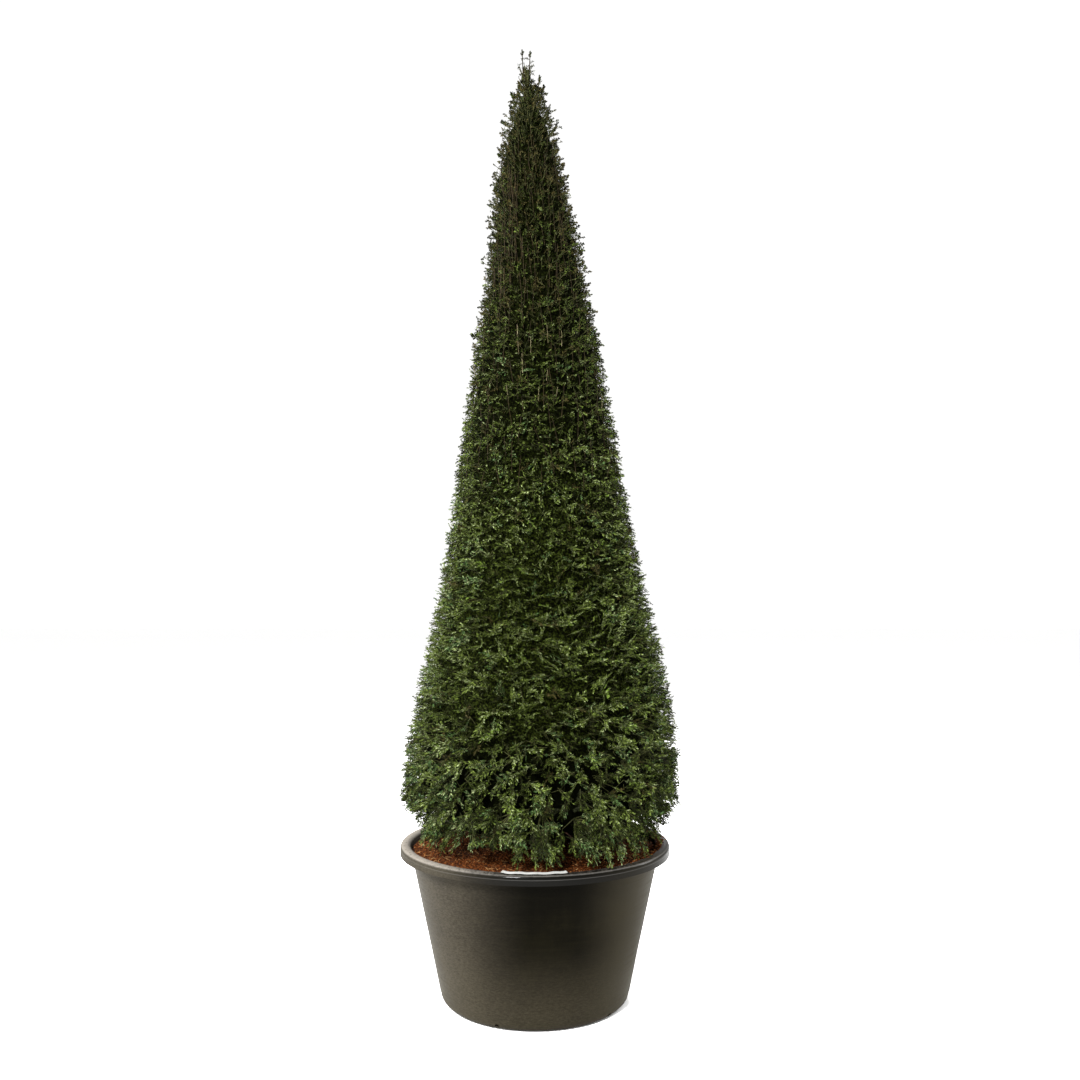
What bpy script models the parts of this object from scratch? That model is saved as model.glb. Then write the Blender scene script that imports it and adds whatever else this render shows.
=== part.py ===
"""Clipped yew cone in a round black nursery tub, as separate solids in metres with +Z up.

The tub's flat underside stands on the origin. Azimuth 0 is the front, towards -Y, and 90 is the
right, towards +X. The crown is a clipped cone of tiers, and each tier is a ring of foliage masses
round one trunk. A mass is one stem from the trunk, a core inside the clipped face, and sprays of
needles that stand out of the core up to that face.
"""

import math
import random

import bmesh
import bpy
from mathutils import Matrix, Vector

# ---------------------------------------------------------------- driving dimensions

GAP = 0.0003  # between two solids that touch

# Tub: one moulded sheet that runs from the floor up the wall and over into the rim
TUB_HEIGHT = 0.600
RIM_RADIUS = 0.525
WALL_TOP_RADIUS = 0.490  # outside of the wall, carried up to the rim's top
WALL_FOOT_RADIUS = 0.3585  # outside of the wall, carried down to the floor
SHEET = 0.006
FOOT_BEND = 0.028
RIM_INNER_BEND = 0.014
RIM_OUTER_BEND = 0.010
LIP_DROP = 0.038
ROUND_STEPS = 40
DRAIN_HOLES = 5
DRAIN_RADIUS = 0.009
DRAIN_FIRST_DEG = -22.0

# Soil: fills the tub to just under the rim and banks up towards the right and the back
SOIL_EDGE = 0.574
SOIL_LEVEL = 0.592
SOIL_SEAT = 0.606  # flat patch under the trunk
SOIL_SEAT_RADIUS = 0.145
SOIL_BANK = 0.020
SOIL_BANK_AT = (0.30, 0.16)
SOIL_BANK_RADIUS = 0.17
SOIL_RINGS = (0.440, 0.350, 0.250, 0.170, 0.120)

# Label: a bare strip that lies on the front of the rim
LABEL_LENGTH = 0.228
LABEL_WIDTH = 0.025
LABEL_THICK = 0.0006
LABEL_OUTER_RADIUS = 0.512

# Trunk: from its flat cut on the soil to where the spire's stem carries on
TRUNK_FOOT = SOIL_SEAT + GAP
TRUNK_TIP = 3.250
TRUNK_RADIUS = 0.046
TRUNK_TIP_RADIUS = 0.009
FLARE = 0.034
FLARE_HEIGHT = 0.07
FLARE_LOBES = 5
TRUNK_SIDES = 15
TRUNK_RINGS = 12

# Crown: (height, value) pairs that the shape runs straight between
CROWN_AXIS = ((0.60, 0.018), (1.30, 0.036), (2.20, 0.015), (2.80, 0.004), (3.20, -0.019), (3.78, -0.034))
CLIPPED_RADIUS = (
    (0.62, 0.470), (0.76, 0.535), (0.95, 0.532), (1.15, 0.497), (1.50, 0.422), (1.75, 0.370),
    (2.30, 0.284), (2.80, 0.202), (3.10, 0.157), (3.35, 0.119), (3.48, 0.092), (3.60, 0.056), (3.74, 0.024),
)
SPRAY_PITCH_DEG = ((0.66, -52), (0.85, -22), (1.10, -6), (1.60, 4), (2.20, 16), (2.80, 38), (3.20, 58), (3.60, 76))
TIER_PITCH_DEG = ((0.64, -18), (0.86, -14), (1.26, -6), (1.72, 0), (2.22, 8), (2.76, 18), (3.25, 28))
FRINGE = ((0.66, 0.095), (0.90, 0.066), (1.40, 0.058), (2.40, 0.048), (3.00, 0.038), (3.50, 0.030))
CORE_INNER_SHARE = 0.50
CORE_BUMP = 0.016
TIER_GAP = 0.005
SECTOR_GAP = 0.004

# Tiers: name, foot, head, sectors, turn in degrees, sprays a mass, spray length, spray width
TIERS = (
    ("skirt", 0.640, 0.860, 6, 0.0, 12, 0.195, 0.140),
    ("low", 0.860, 1.260, 5, 20.0, 14, 0.175, 0.130),
    ("middle", 1.260, 1.720, 5, 56.0, 14, 0.160, 0.115),
    ("high", 1.720, 2.220, 4, 10.0, 15, 0.140, 0.100),
    ("top", 2.220, 2.760, 3, 40.0, 15, 0.120, 0.086),
    ("neck", 2.760, 3.250, 3, 100.0, 13, 0.100, 0.070),
)
STEM_RADIUS_SHARE = 0.34  # of the trunk where the stem leaves it
STEM_TIP_SHARE = 0.55  # of the stem's own foot
STEM_RISE_DEG = ((0.70, 4), (1.10, 18), (2.20, 38), (3.00, 52))
STEM_SIDES = 6

# Spray: one toothed blade, widest near its middle, as (share of length, share of half width)
BLADE_MIDDLE = 0.54
BLADE_HALF_OUTLINE = ((1.00, 0.00), (0.66, 0.24), (0.80, 1.00), (0.40, 0.42), (0.00, 0.00))
BLADE_THICK_SHARE = 0.060
SINK = 0.022  # how deep a spray's root lies in the core, at least
TRIES = 14
CLEAR = 0.0015  # from a spray to the edge of its mass's space
GROUND_CLEAR = 0.004
YAW_JITTER_DEG = 22.0
PITCH_JITTER_DEG = 11.0
ROLL_JITTER_DEG = 65.0
STRAY = 0.016

# Spire: the leading shoots above the trunk
SPIRE_FORK = 3.44
SPIRE_CORE = ((3.236, 0.052), (3.262, 0.110), (3.350, 0.096), (3.460, 0.068), (3.580, 0.030))
SPIRE_CORE_SIDES = 9
SPIRE_CORE_BUMP = 0.008
LEADER_TIPS = ((-0.053, 0.000, 3.780), (-0.021, 0.004, 3.776), (0.018, -0.012, 3.668), (-0.072, 0.016, 3.610))
LEADER_RADIUS = 0.0055
LEADER_TIP_RADIUS = 0.0022
SPIRE_SPRAYS = 24
SPIRE_SPRAY_LENGTH = 0.090
SPIRE_SPRAY_WIDTH = 0.056
SPIRE_SPRAY_PITCH_DEG = 52.0

PLASTIC_FACE = 0.0001  # modifiers merge nothing further apart than this

# ---------------------------------------------------------------- scene, collections and materials

for old in list(bpy.data.objects):
    bpy.data.objects.remove(old)

plant_collection = bpy.data.collections.new("yew_cone_in_tub")
cutter_collection = bpy.data.collections.new("cutters")
for made in (plant_collection, cutter_collection):
    bpy.context.scene.collection.children.link(made)


def material(name, colour, roughness, metallic=0.0):
    """A Principled material of one colour."""
    made = bpy.data.materials.new(name)
    made.use_nodes = True
    shader = made.node_tree.nodes["Principled BSDF"]
    shader.inputs["Base Color"].default_value = (*colour, 1.0)
    shader.inputs["Roughness"].default_value = roughness
    shader.inputs["Metallic"].default_value = metallic
    return made


TUB_PLASTIC = material("tub_plastic", (0.045, 0.042, 0.036), 0.55)
SOIL_MIX = material("soil_mix", (0.095, 0.042, 0.016), 0.95)
LABEL_STRIP = material("label_strip", (0.80, 0.80, 0.77), 0.45)
BARK = material("yew_bark", (0.150, 0.075, 0.045), 0.85)
NEEDLES = material("yew_needles", (0.040, 0.065, 0.018), 0.50)


def new_object(name, mesh, finish, collection=plant_collection):
    made = bpy.data.objects.new(name, mesh)
    made.data.materials.append(finish)
    collection.objects.link(made)
    return made


def object_from(name, shape, finish, collection=plant_collection):
    """Turns a bmesh into an object, with its faces pointing out."""
    shape.normal_update()
    bmesh.ops.recalc_face_normals(shape, faces=shape.faces)
    mesh = bpy.data.meshes.new(name)
    shape.to_mesh(mesh)
    shape.free()
    return new_object(name, mesh, finish, collection)


# ---------------------------------------------------------------- curves and directions


def between(pairs, height):
    """The value at a height, on straight lines through (height, value) pairs."""
    if height <= pairs[0][0]:
        return pairs[0][1]
    for (low, at_low), (high, at_high) in zip(pairs, pairs[1:]):
        if height <= high:
            return at_low + (at_high - at_low) * (height - low) / (high - low)
    return pairs[-1][1]


def outward(azimuth):
    """The level direction of an azimuth in radians: 0 is the front and a quarter turn is the right."""
    return Vector((math.sin(azimuth), -math.cos(azimuth), 0.0))


def axis_point(height):
    return Vector((between(CROWN_AXIS, height), 0.0, height))


# ---------------------------------------------------------------- turned pieces


def rounded(corners, bends, steps=2):
    """The corners of a line in (radius, height), with each inner corner turned into an arc."""
    points = [Vector(corners[0])]
    for before, corner, after, bend in zip(corners, corners[1:], corners[2:], bends):
        corner = Vector(corner)
        back = (Vector(before) - corner).normalized()
        ahead = (Vector(after) - corner).normalized()
        half = back.angle(ahead) / 2
        centre = corner + (back + ahead).normalized() * bend / math.sin(half)
        start = corner + back * bend / math.tan(half) - centre
        end = corner + ahead * bend / math.tan(half) - centre
        turn = start.angle(end)
        for step in range(steps + 1):
            share = step / steps
            spoke = start * math.sin((1 - share) * turn) + end * math.sin(share * turn)
            points.append(centre + spoke / math.sin(turn))
    points.append(Vector(corners[-1]))
    return points


def turned(name, profile, finish):
    """A line in (radius, height) turned about the Z axis."""
    mesh = bpy.data.meshes.new(name)
    edges = [(i, i + 1) for i in range(len(profile) - 1)]
    mesh.from_pydata([(point[0], 0.0, point[1]) for point in profile], edges, [])
    made = new_object(name, mesh, finish)
    screw = made.modifiers.new("turn", "SCREW")
    screw.axis = "Z"
    screw.steps = screw.render_steps = ROUND_STEPS
    screw.use_merge_vertices = True
    screw.merge_threshold = PLASTIC_FACE
    screw.use_smooth_shade = True
    return made


def wall_radius(height, inset):
    """Radius of the tub's wall at a height, on the surface that lies inset behind its outer face."""
    slope = (WALL_TOP_RADIUS - WALL_FOOT_RADIUS) / TUB_HEIGHT
    return WALL_FOOT_RADIUS + slope * height - inset * math.hypot(1.0, slope)


def tub_line(inset, top_height):
    """The corners of the tub's sheet from the middle of its floor to the top of its wall."""
    return [(0.0, inset), (wall_radius(inset, inset), inset), (wall_radius(top_height, inset), top_height)]


def make_tub():
    middle = SHEET / 2
    corners = tub_line(middle, TUB_HEIGHT - middle)
    corners.append((RIM_RADIUS - middle, TUB_HEIGHT - middle))
    corners.append((RIM_RADIUS - middle, TUB_HEIGHT - LIP_DROP))
    tub = turned("tub", rounded(corners, (FOOT_BEND, RIM_INNER_BEND, RIM_OUTER_BEND)), TUB_PLASTIC)
    sheet = tub.modifiers.new("sheet", "SOLIDIFY")
    sheet.thickness = SHEET
    sheet.offset = 0.0
    sheet.use_even_offset = True
    for hole in range(DRAIN_HOLES):
        azimuth = math.radians(DRAIN_FIRST_DEG) + hole * math.tau / DRAIN_HOLES
        punch = drain_punch(f"drain_punch_{hole + 1}", azimuth)
        cut = tub.modifiers.new(punch.name, "BOOLEAN")
        cut.operation = "DIFFERENCE"
        cut.solver = "EXACT"
        cut.object = punch
    return tub


def drain_punch(name, azimuth):
    """A round cutter that goes out and down through the bend between floor and wall."""
    direction = (outward(azimuth) - Vector((0, 0, 1))).normalized()
    shape = bmesh.new()
    bmesh.ops.create_cone(
        shape, cap_ends=True, segments=10, radius1=DRAIN_RADIUS, radius2=DRAIN_RADIUS, depth=0.08,
        matrix=direction.to_track_quat("Z", "Y").to_matrix().to_4x4(),
    )
    bend_middle = outward(azimuth) * (WALL_FOOT_RADIUS - FOOT_BEND * 0.25) + Vector((0, 0, FOOT_BEND * 0.45))
    bmesh.ops.translate(shape, verts=shape.verts, vec=bend_middle)
    punch = object_from(name, shape, TUB_PLASTIC, cutter_collection)
    punch.hide_render = True
    punch.display_type = "WIRE"
    return punch


def soil_height(x, y):
    """The height of the soil's face: a low heap with a bank, soft lumps and a flat seat for the trunk."""
    edge_radius = wall_radius(SOIL_EDGE, SHEET)
    radius = math.hypot(x, y)
    to_edge = max(0.0, 1.0 - (radius / edge_radius) ** 8)
    bank_distance = math.hypot(x - SOIL_BANK_AT[0], y - SOIL_BANK_AT[1])
    bank = SOIL_BANK * math.exp(-((bank_distance / SOIL_BANK_RADIUS) ** 2))
    lumps = 0.003 * math.sin(23 * x + 1.0) * math.cos(19 * y) + 0.002 * math.sin(41 * y + 17 * x)
    open_face = SOIL_LEVEL + bank + lumps
    from_trunk = (math.hypot(x - axis_point(SOIL_SEAT).x, y) / SOIL_SEAT_RADIUS) - 1.0
    leave_seat = min(1.0, max(0.0, from_trunk * 2.0))
    inner_face = SOIL_SEAT + (open_face - SOIL_SEAT) * leave_seat
    return SOIL_EDGE + (inner_face - SOIL_EDGE) * to_edge


def make_soil():
    inset = SHEET + GAP
    line = rounded(tub_line(inset, SOIL_EDGE), (FOOT_BEND - SHEET / 2,))
    sides = len(line)
    line += [Vector((radius, SOIL_LEVEL)) for radius in SOIL_RINGS] + [Vector((0.0, SOIL_LEVEL))]
    soil = turned("soil", line[::-1], SOIL_MIX)
    graph = bpy.context.evaluated_depsgraph_get()
    mesh = bpy.data.meshes.new_from_object(soil.evaluated_get(graph))
    edge = line[sides - 1].y
    for vertex in mesh.vertices:
        if vertex.co.z > edge + PLASTIC_FACE:
            vertex.co.z = soil_height(vertex.co.x, vertex.co.y)
    soil.modifiers.clear()
    soil.data = mesh
    return soil


def make_label():
    """A thin strip bent along the rim's top, made of a bar of boxes that is then curved."""
    middle_radius = LABEL_OUTER_RADIUS - LABEL_WIDTH / 2
    shape = bmesh.new()
    bmesh.ops.create_cube(shape, size=1.0)
    long_edges = [e for e in shape.edges if abs(e.verts[0].co.x - e.verts[1].co.x) > 0.5]
    bmesh.ops.subdivide_edges(shape, edges=long_edges, cuts=8, use_grid_fill=True)
    for vertex in shape.verts:
        azimuth = vertex.co.x * LABEL_LENGTH / middle_radius
        radius = middle_radius + vertex.co.y * LABEL_WIDTH
        height = TUB_HEIGHT + GAP + (vertex.co.z + 0.5) * LABEL_THICK
        vertex.co = outward(azimuth) * radius + Vector((0, 0, height))
    return object_from("label", shape, LABEL_STRIP)


# ---------------------------------------------------------------- trunk


def trunk_radius(height):
    """Radius of the trunk without its flare."""
    share = (height - TRUNK_FOOT) / (TRUNK_TIP - TRUNK_FOOT)
    return TRUNK_RADIUS + (TRUNK_TIP_RADIUS - TRUNK_RADIUS) * share


def flared_radius(height, azimuth):
    """Radius of the trunk with the lobes of its root flare."""
    lobe = 0.65 + 0.35 * math.cos(FLARE_LOBES * azimuth + 0.6)
    return trunk_radius(height) + FLARE * lobe * math.exp(-(height - TRUNK_FOOT) / FLARE_HEIGHT)


def trunk_heights():
    """Ring heights, close together in the flare and wide apart above it."""
    length = TRUNK_TIP - TRUNK_FOOT
    return [TRUNK_FOOT + length * (ring / TRUNK_RINGS) ** 2.2 for ring in range(TRUNK_RINGS + 1)]


def loft(rings):
    """A closed shape through rings of as many points each, in triangles so that its sides have one reading."""
    shape = bmesh.new()
    loops = [[shape.verts.new(point) for point in ring] for ring in rings]
    count = len(rings[0])
    for lower, upper in zip(loops, loops[1:]):
        for i in range(count):
            after = (i + 1) % count
            shape.faces.new((lower[i], lower[after], upper[after]))
            shape.faces.new((lower[i], upper[after], upper[i]))
    shape.faces.new(loops[0][::-1])
    shape.faces.new(loops[-1])
    return shape


def trunk_shape(grown=0.0):
    """The trunk, or the space it takes up when it is grown by a clearance."""
    rings = []
    for height in trunk_heights():
        ring = []
        for side in range(TRUNK_SIDES):
            azimuth = side * math.tau / TRUNK_SIDES
            radius = flared_radius(height, azimuth) + grown
            ring.append(axis_point(height) + outward(azimuth) * radius)
        rings.append(ring)
    for point in rings[-1]:
        point.z += grown
    return loft(rings)


# ---------------------------------------------------------------- crown: where a mass may grow


def line_drop(height, inset):
    """How far below its outer end a tier's dividing line lies, inset behind the clipped face."""
    return inset * math.tan(math.radians(between(TIER_PITCH_DEG, height)))


def crown_point(azimuth, height, inset):
    """The point that lies inset behind the clipped face, on the dividing line that meets it at a height."""
    radius = between(CLIPPED_RADIUS, height) - inset
    level = height - line_drop(height, inset)
    return axis_point(level) + outward(azimuth) * radius


def crown_place(point):
    """(azimuth, height, inset) of a point: the inverse of crown_point."""
    side = point - axis_point(point.z)
    radius = math.hypot(side.x, side.y)
    height = point.z
    for _ in range(4):
        inset = between(CLIPPED_RADIUS, height) - radius
        height = point.z + line_drop(height, inset)
    return math.atan2(side.x, -side.y), height, inset, radius


def ground_height(point):
    """The face that a low spray has to stay above: the rim, or the soil inside it."""
    if math.hypot(point.x, point.y) > wall_radius(SOIL_EDGE, SHEET) - CLEAR:
        return TUB_HEIGHT + GAP + LABEL_THICK
    return soil_height(point.x, point.y)


class Space:
    """The part of the crown that one mass keeps to."""

    def __init__(self, foot, head, first, last):
        self.foot = foot
        self.head = head
        self.first = first
        self.last = last

    def holds(self, point, clear):
        azimuth, height, _, radius = crown_place(point)
        if point.z < ground_height(point) + GROUND_CLEAR:
            return False
        if height > self.head - TIER_GAP / 2 - clear:
            return False
        if self.foot > TIERS[0][1] and height < self.foot + TIER_GAP / 2 + clear:
            return False
        if self.last - self.first > 6:
            return True
        turn = (azimuth - self.first) % math.tau
        edge = (SECTOR_GAP / 2 + clear) / max(radius, clear)
        return edge < turn < (self.last - self.first) - edge


# ---------------------------------------------------------------- crown: core, stem and sprays


def make_core(space, cuts_round, cuts_up):
    """A block of the crown behind its fringe, bent out of a subdivided cube."""
    shape = bmesh.new()
    bmesh.ops.create_cube(shape, size=1.0, matrix=Matrix.Translation((0.5, 0.5, 0.5)))
    for axis, cuts in ((0, cuts_round), (2, cuts_up)):
        along = [e for e in shape.edges if abs(e.verts[0].co[axis] - e.verts[1].co[axis]) > 0.5]
        bmesh.ops.subdivide_edges(shape, edges=along, cuts=cuts, use_grid_fill=True)
    bmesh.ops.triangulate(shape, faces=shape.faces)
    for vertex in shape.verts:
        share_round, depth, share_up = vertex.co
        low = space.foot + TIER_GAP / 2
        height = low + (space.head - TIER_GAP / 2 - low) * share_up
        fringe = between(FRINGE, height)
        outer = between(CLIPPED_RADIUS, height) - fringe
        inner = max(outer * CORE_INNER_SHARE, trunk_radius(height) + 0.012)
        bump = CORE_BUMP * math.sin(53.0 * height + 29.0 * share_round + 5.0 * space.first)
        radius = inner + (outer + bump - inner) * depth
        edge = SECTOR_GAP / 2 / radius
        azimuth = space.first + edge + (space.last - space.first - 2 * edge) * share_round
        vertex.co = crown_point(azimuth, height, between(CLIPPED_RADIUS, height) - radius)
    return shape


def tapered(start, end, start_radius, end_radius, sides):
    """A straight limb between two points."""
    along = end - start
    shape = bmesh.new()
    place = Matrix.Translation((start + end) / 2) @ along.to_track_quat("Z", "Y").to_matrix().to_4x4()
    bmesh.ops.create_cone(
        shape, cap_ends=True, segments=sides, radius1=start_radius, radius2=end_radius,
        depth=along.length, matrix=place,
    )
    return shape


def make_stem(space):
    """The stem that carries a mass: it leaves the trunk, rises and ends inside the core."""
    azimuth = (space.first + space.last) / 2
    height = (space.foot + space.head) / 2
    inset = between(FRINGE, height) + 0.02
    end = crown_point(azimuth, height, inset)
    reach = between(CLIPPED_RADIUS, height) - inset
    foot_height = end.z - reach * math.tan(math.radians(between(STEM_RISE_DEG, height)))
    foot_height = max(foot_height, TRUNK_FOOT + 2.5 * FLARE_HEIGHT)
    foot = axis_point(foot_height) + outward(azimuth) * trunk_radius(foot_height) * 0.4
    radius = trunk_radius(foot_height) * STEM_RADIUS_SHARE
    return tapered(foot, end, radius, radius * STEM_TIP_SHARE, STEM_SIDES)


def blade_ring():
    """The whole outline of a spray, tip first, from its half."""
    half = list(BLADE_HALF_OUTLINE)
    return half + [(along, -across) for along, across in half[-2:0:-1]]


def spray_corners(frame, length, width):
    """Every corner of a spray: its outline, and the ridges' tops on its two sides."""
    corners = [Vector((along * length, across * width / 2, 0.0)) for along, across in blade_ring()]
    for side in (1, -1):
        corners.append(Vector((BLADE_MIDDLE * length, 0.0, side * length * BLADE_THICK_SHARE / 2)))
    return [frame @ corner for corner in corners]


def spray_frame(root, direction, roll):
    """Axes of a spray: along it, across it and up through it, with its origin at its root."""
    across = direction.cross(Vector((0, 0, 1)))
    if across.length < 0.1:
        across = Vector((1, 0, 0))
    across = Matrix.Rotation(roll, 3, direction) @ across.normalized()
    upward = across.cross(direction)
    frame = Matrix((direction, across, upward)).transposed().to_4x4()
    frame.translation = root
    return frame


def spray_shape(frame, length, width):
    """One toothed blade: a flattened double cone whose rim is drawn out into teeth."""
    ring = blade_ring()
    shape = bmesh.new()
    bmesh.ops.create_uvsphere(shape, u_segments=len(ring), v_segments=2, radius=1.0)
    step = math.tau / len(ring)
    for vertex in shape.verts:
        if abs(vertex.co.z) > 0.5:
            side = math.copysign(length * BLADE_THICK_SHARE / 2, vertex.co.z)
            vertex.co = Vector((BLADE_MIDDLE * length, 0.0, side))
            continue
        along, across = ring[round(math.atan2(vertex.co.y, vertex.co.x) / step) % len(ring)]
        vertex.co = Vector((along * length, across * width / 2, 0.0))
    bmesh.ops.transform(shape, matrix=frame, verts=shape.verts)
    return shape


def site(index):
    """The index-th place of an even spread over a mass's face, as two shares."""
    return (0.5 + index * 0.7548776662) % 1.0, (0.5 + index * 0.5698402910) % 1.0


def grow_sprays(space, count, length, width, seed):
    """Sprays whose tips lie on the clipped face, each kept inside the mass's space."""
    shapes = []
    for index in range(count):
        dice = random.Random(seed * 1000 + index)
        round_share, up_share = site(index)
        azimuth = space.first + (space.last - space.first) * (0.03 + 0.94 * round_share)
        height = space.foot + (space.head - space.foot) * (0.02 + 0.96 * up_share)
        for _ in range(TRIES):
            long = length * dice.uniform(0.88, 1.12)
            yaw = math.radians(dice.uniform(-YAW_JITTER_DEG, YAW_JITTER_DEG))
            pitch = math.radians(between(SPRAY_PITCH_DEG, height) + dice.uniform(-PITCH_JITTER_DEG, PITCH_JITTER_DEG))
            roll = math.radians(dice.uniform(-ROLL_JITTER_DEG, ROLL_JITTER_DEG))
            tip = crown_point(azimuth, height, dice.uniform(-STRAY, STRAY * 0.5))
            direction = outward(azimuth + yaw) * math.cos(pitch) + Vector((0, 0, math.sin(pitch)))
            root = tip - direction * long
            _, root_height, root_inset, _ = crown_place(root)
            sunk = root_inset - between(FRINGE, root_height)
            if sunk < SINK * math.cos(pitch):
                continue
            if not space.foot + TIER_GAP < root_height < space.head - TIER_GAP:
                continue
            frame = spray_frame(root, direction, roll)
            if all(space.holds(corner, CLEAR) for corner in spray_corners(frame, long, width)):
                shapes.append(spray_shape(frame, long, width))
                break
    return shapes


# ---------------------------------------------------------------- crown: fusing a mass


def keep_main_body(mesh):
    """Drops every loose scrap and every sealed hollow, which are islands of their own."""
    shape = bmesh.new()
    shape.from_mesh(mesh)
    waiting = set(shape.faces)
    islands = []
    while waiting:
        island = {waiting.pop()}
        edge_of = list(island)
        while edge_of:
            for edge in edge_of.pop().edges:
                for face in edge.link_faces:
                    if face in waiting:
                        waiting.remove(face)
                        island.add(face)
                        edge_of.append(face)
        islands.append(island)
    main = max(islands, key=len)
    bmesh.ops.delete(shape, geom=[f for f in shape.faces if f not in main], context="FACES")
    shape.to_mesh(mesh)
    shape.free()


def evaluated_mesh(thing):
    bpy.context.view_layer.update()
    graph = bpy.context.evaluated_depsgraph_get()
    return bpy.data.meshes.new_from_object(thing.evaluated_get(graph))


def fuse(name, body, others, trunk_space=None):
    """Joins the shapes of a mass into one solid, cut clear of the trunk."""
    mass = object_from(name, body, NEEDLES)
    parts = bpy.data.collections.new(name + "_parts")
    bpy.context.scene.collection.children.link(parts)
    for number, shape in enumerate(others):
        object_from(f"{name}_part_{number}", shape, NEEDLES, parts)
    join = mass.modifiers.new("join", "BOOLEAN")
    join.operation = "UNION"
    join.solver = "MANIFOLD"
    join.operand_type = "COLLECTION"
    join.collection = parts
    if trunk_space:
        cut = mass.modifiers.new("clear_of_trunk", "BOOLEAN")
        cut.operation = "DIFFERENCE"
        cut.solver = "MANIFOLD"
        cut.object = trunk_space
    mesh = evaluated_mesh(mass)
    mass.modifiers.clear()
    mass.data = mesh
    for part in list(parts.objects):
        bpy.data.objects.remove(part)
    bpy.data.collections.remove(parts)
    keep_main_body(mass.data)
    return mass


def make_ring_of_masses(tier, seed, trunk_space):
    name, foot, head, sectors, turn, sprays, length, width = tier
    step = math.tau / sectors
    for sector in range(sectors):
        first = math.radians(turn) + (sector - 0.5) * step
        space = Space(foot, head, first, first + step)
        cuts_round = max(2, round(step / math.radians(20)) - 1)
        core = make_core(space, cuts_round, 1)
        shapes = [make_stem(space)]
        shapes += grow_sprays(space, sprays, length, width, seed + sector)
        fuse(f"foliage_{name}_{sector + 1}", core, shapes, trunk_space)


def make_spire(seed, trunk_space):
    """The top of the crown: the stem that carries on from the trunk, its leaders and their sprays."""
    fork = axis_point(SPIRE_FORK)
    rings = []
    for level, (height, radius) in enumerate(SPIRE_CORE):
        ring = []
        for side in range(SPIRE_CORE_SIDES):
            azimuth = side * math.tau / SPIRE_CORE_SIDES
            bump = SPIRE_CORE_BUMP * math.sin(2.3 * side + 1.9 * level)
            ring.append(axis_point(height) + outward(azimuth) * (radius + bump))
        rings.append(ring)
    shapes = [tapered(fork, Vector(tip), LEADER_RADIUS, LEADER_TIP_RADIUS, 4) for tip in LEADER_TIPS]
    shapes += grow_spire_sprays(seed)
    fuse("foliage_spire", loft(rings), shapes, trunk_space)


def grow_spire_sprays(seed):
    """Sprays that rise from the spire's stem and leaders to its clipped face, shorter towards the tip."""
    shapes = []
    low = SPIRE_CORE[1][0] + 0.06
    high = LEADER_TIPS[0][2] - 0.020
    for index in range(SPIRE_SPRAYS):
        dice = random.Random(seed * 1000 + index)
        round_share, up_share = site(index)
        height = low + (high - low) * up_share
        azimuth = round_share * math.tau
        shrink = 1.0 - 0.40 * up_share
        face = axis_point(height) + outward(azimuth) * (between(CLIPPED_RADIUS, height) + dice.uniform(-0.01, 0.01))
        drop = SPIRE_SPRAY_LENGTH * shrink * math.sin(math.radians(SPIRE_SPRAY_PITCH_DEG + dice.uniform(-12, 12)))
        root = spire_carrier(max(face.z - drop, low - 0.03), face)
        if face.z < SPIRE_CORE[-1][0]:
            root = root.lerp(Vector((face.x, face.y, root.z)), 0.35)
        direction = (face - root).normalized()
        root = root - direction * 0.003
        frame = spray_frame(root, direction, math.radians(dice.uniform(-60, 60)))
        shapes.append(spray_shape(frame, (face - root).length, SPIRE_SPRAY_WIDTH * shrink))
    return shapes


def spire_carrier(height, near):
    """The point on the spire's stem or on the nearest leader that a spray at a height grows from."""
    if height < SPIRE_FORK:
        return axis_point(max(height, SPIRE_CORE[1][0] + 0.02))
    fork = axis_point(SPIRE_FORK)
    points = []
    for tip in LEADER_TIPS:
        share = (height - fork.z) / (tip[2] - fork.z)
        if share < 0.97:
            points.append(fork.lerp(Vector(tip), share))
    return min(points, key=lambda point: (point - near).length)


# ---------------------------------------------------------------- the whole plant

make_tub()
make_soil()
make_label()
object_from("trunk", trunk_shape(), BARK)
clearance = object_from("trunk_clearance", trunk_shape(GAP), BARK, cutter_collection)
clearance.hide_render = True
clearance.display_type = "WIRE"
for tier_number, tier_values in enumerate(TIERS):
    make_ring_of_masses(tier_values, 10 * (tier_number + 1), clearance)
make_spire(90, clearance)
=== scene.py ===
# %% [markdown]
# # A clipped yew cone in a round nursery tub
#
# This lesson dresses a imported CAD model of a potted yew. The CAD model says where everything is.
# The lesson replaces its plain solids by moulded plastic, loose bark, a barked trunk and about half
# a million needles. The first cell loads the frame. Everything is in metres, with +Z up.

# %% Load the frame
import math
import random

import bmesh
import bpy
import numpy as np
from mathutils import Matrix, Vector
from mathutils import noise as field


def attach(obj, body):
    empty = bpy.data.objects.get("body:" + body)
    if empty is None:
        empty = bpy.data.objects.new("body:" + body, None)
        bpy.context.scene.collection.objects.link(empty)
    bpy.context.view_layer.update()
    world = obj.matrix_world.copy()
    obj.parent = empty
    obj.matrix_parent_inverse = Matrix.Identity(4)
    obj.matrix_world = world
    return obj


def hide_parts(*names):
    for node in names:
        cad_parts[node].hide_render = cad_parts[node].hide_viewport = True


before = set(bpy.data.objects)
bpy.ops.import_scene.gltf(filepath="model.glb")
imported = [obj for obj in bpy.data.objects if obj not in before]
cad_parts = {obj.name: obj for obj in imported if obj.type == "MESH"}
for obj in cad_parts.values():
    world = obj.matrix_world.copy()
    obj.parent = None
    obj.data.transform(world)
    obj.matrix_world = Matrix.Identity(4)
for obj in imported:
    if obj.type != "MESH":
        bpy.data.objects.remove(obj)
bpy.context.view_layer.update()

MASSES = sorted(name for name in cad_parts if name.startswith("foliage_"))

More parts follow.
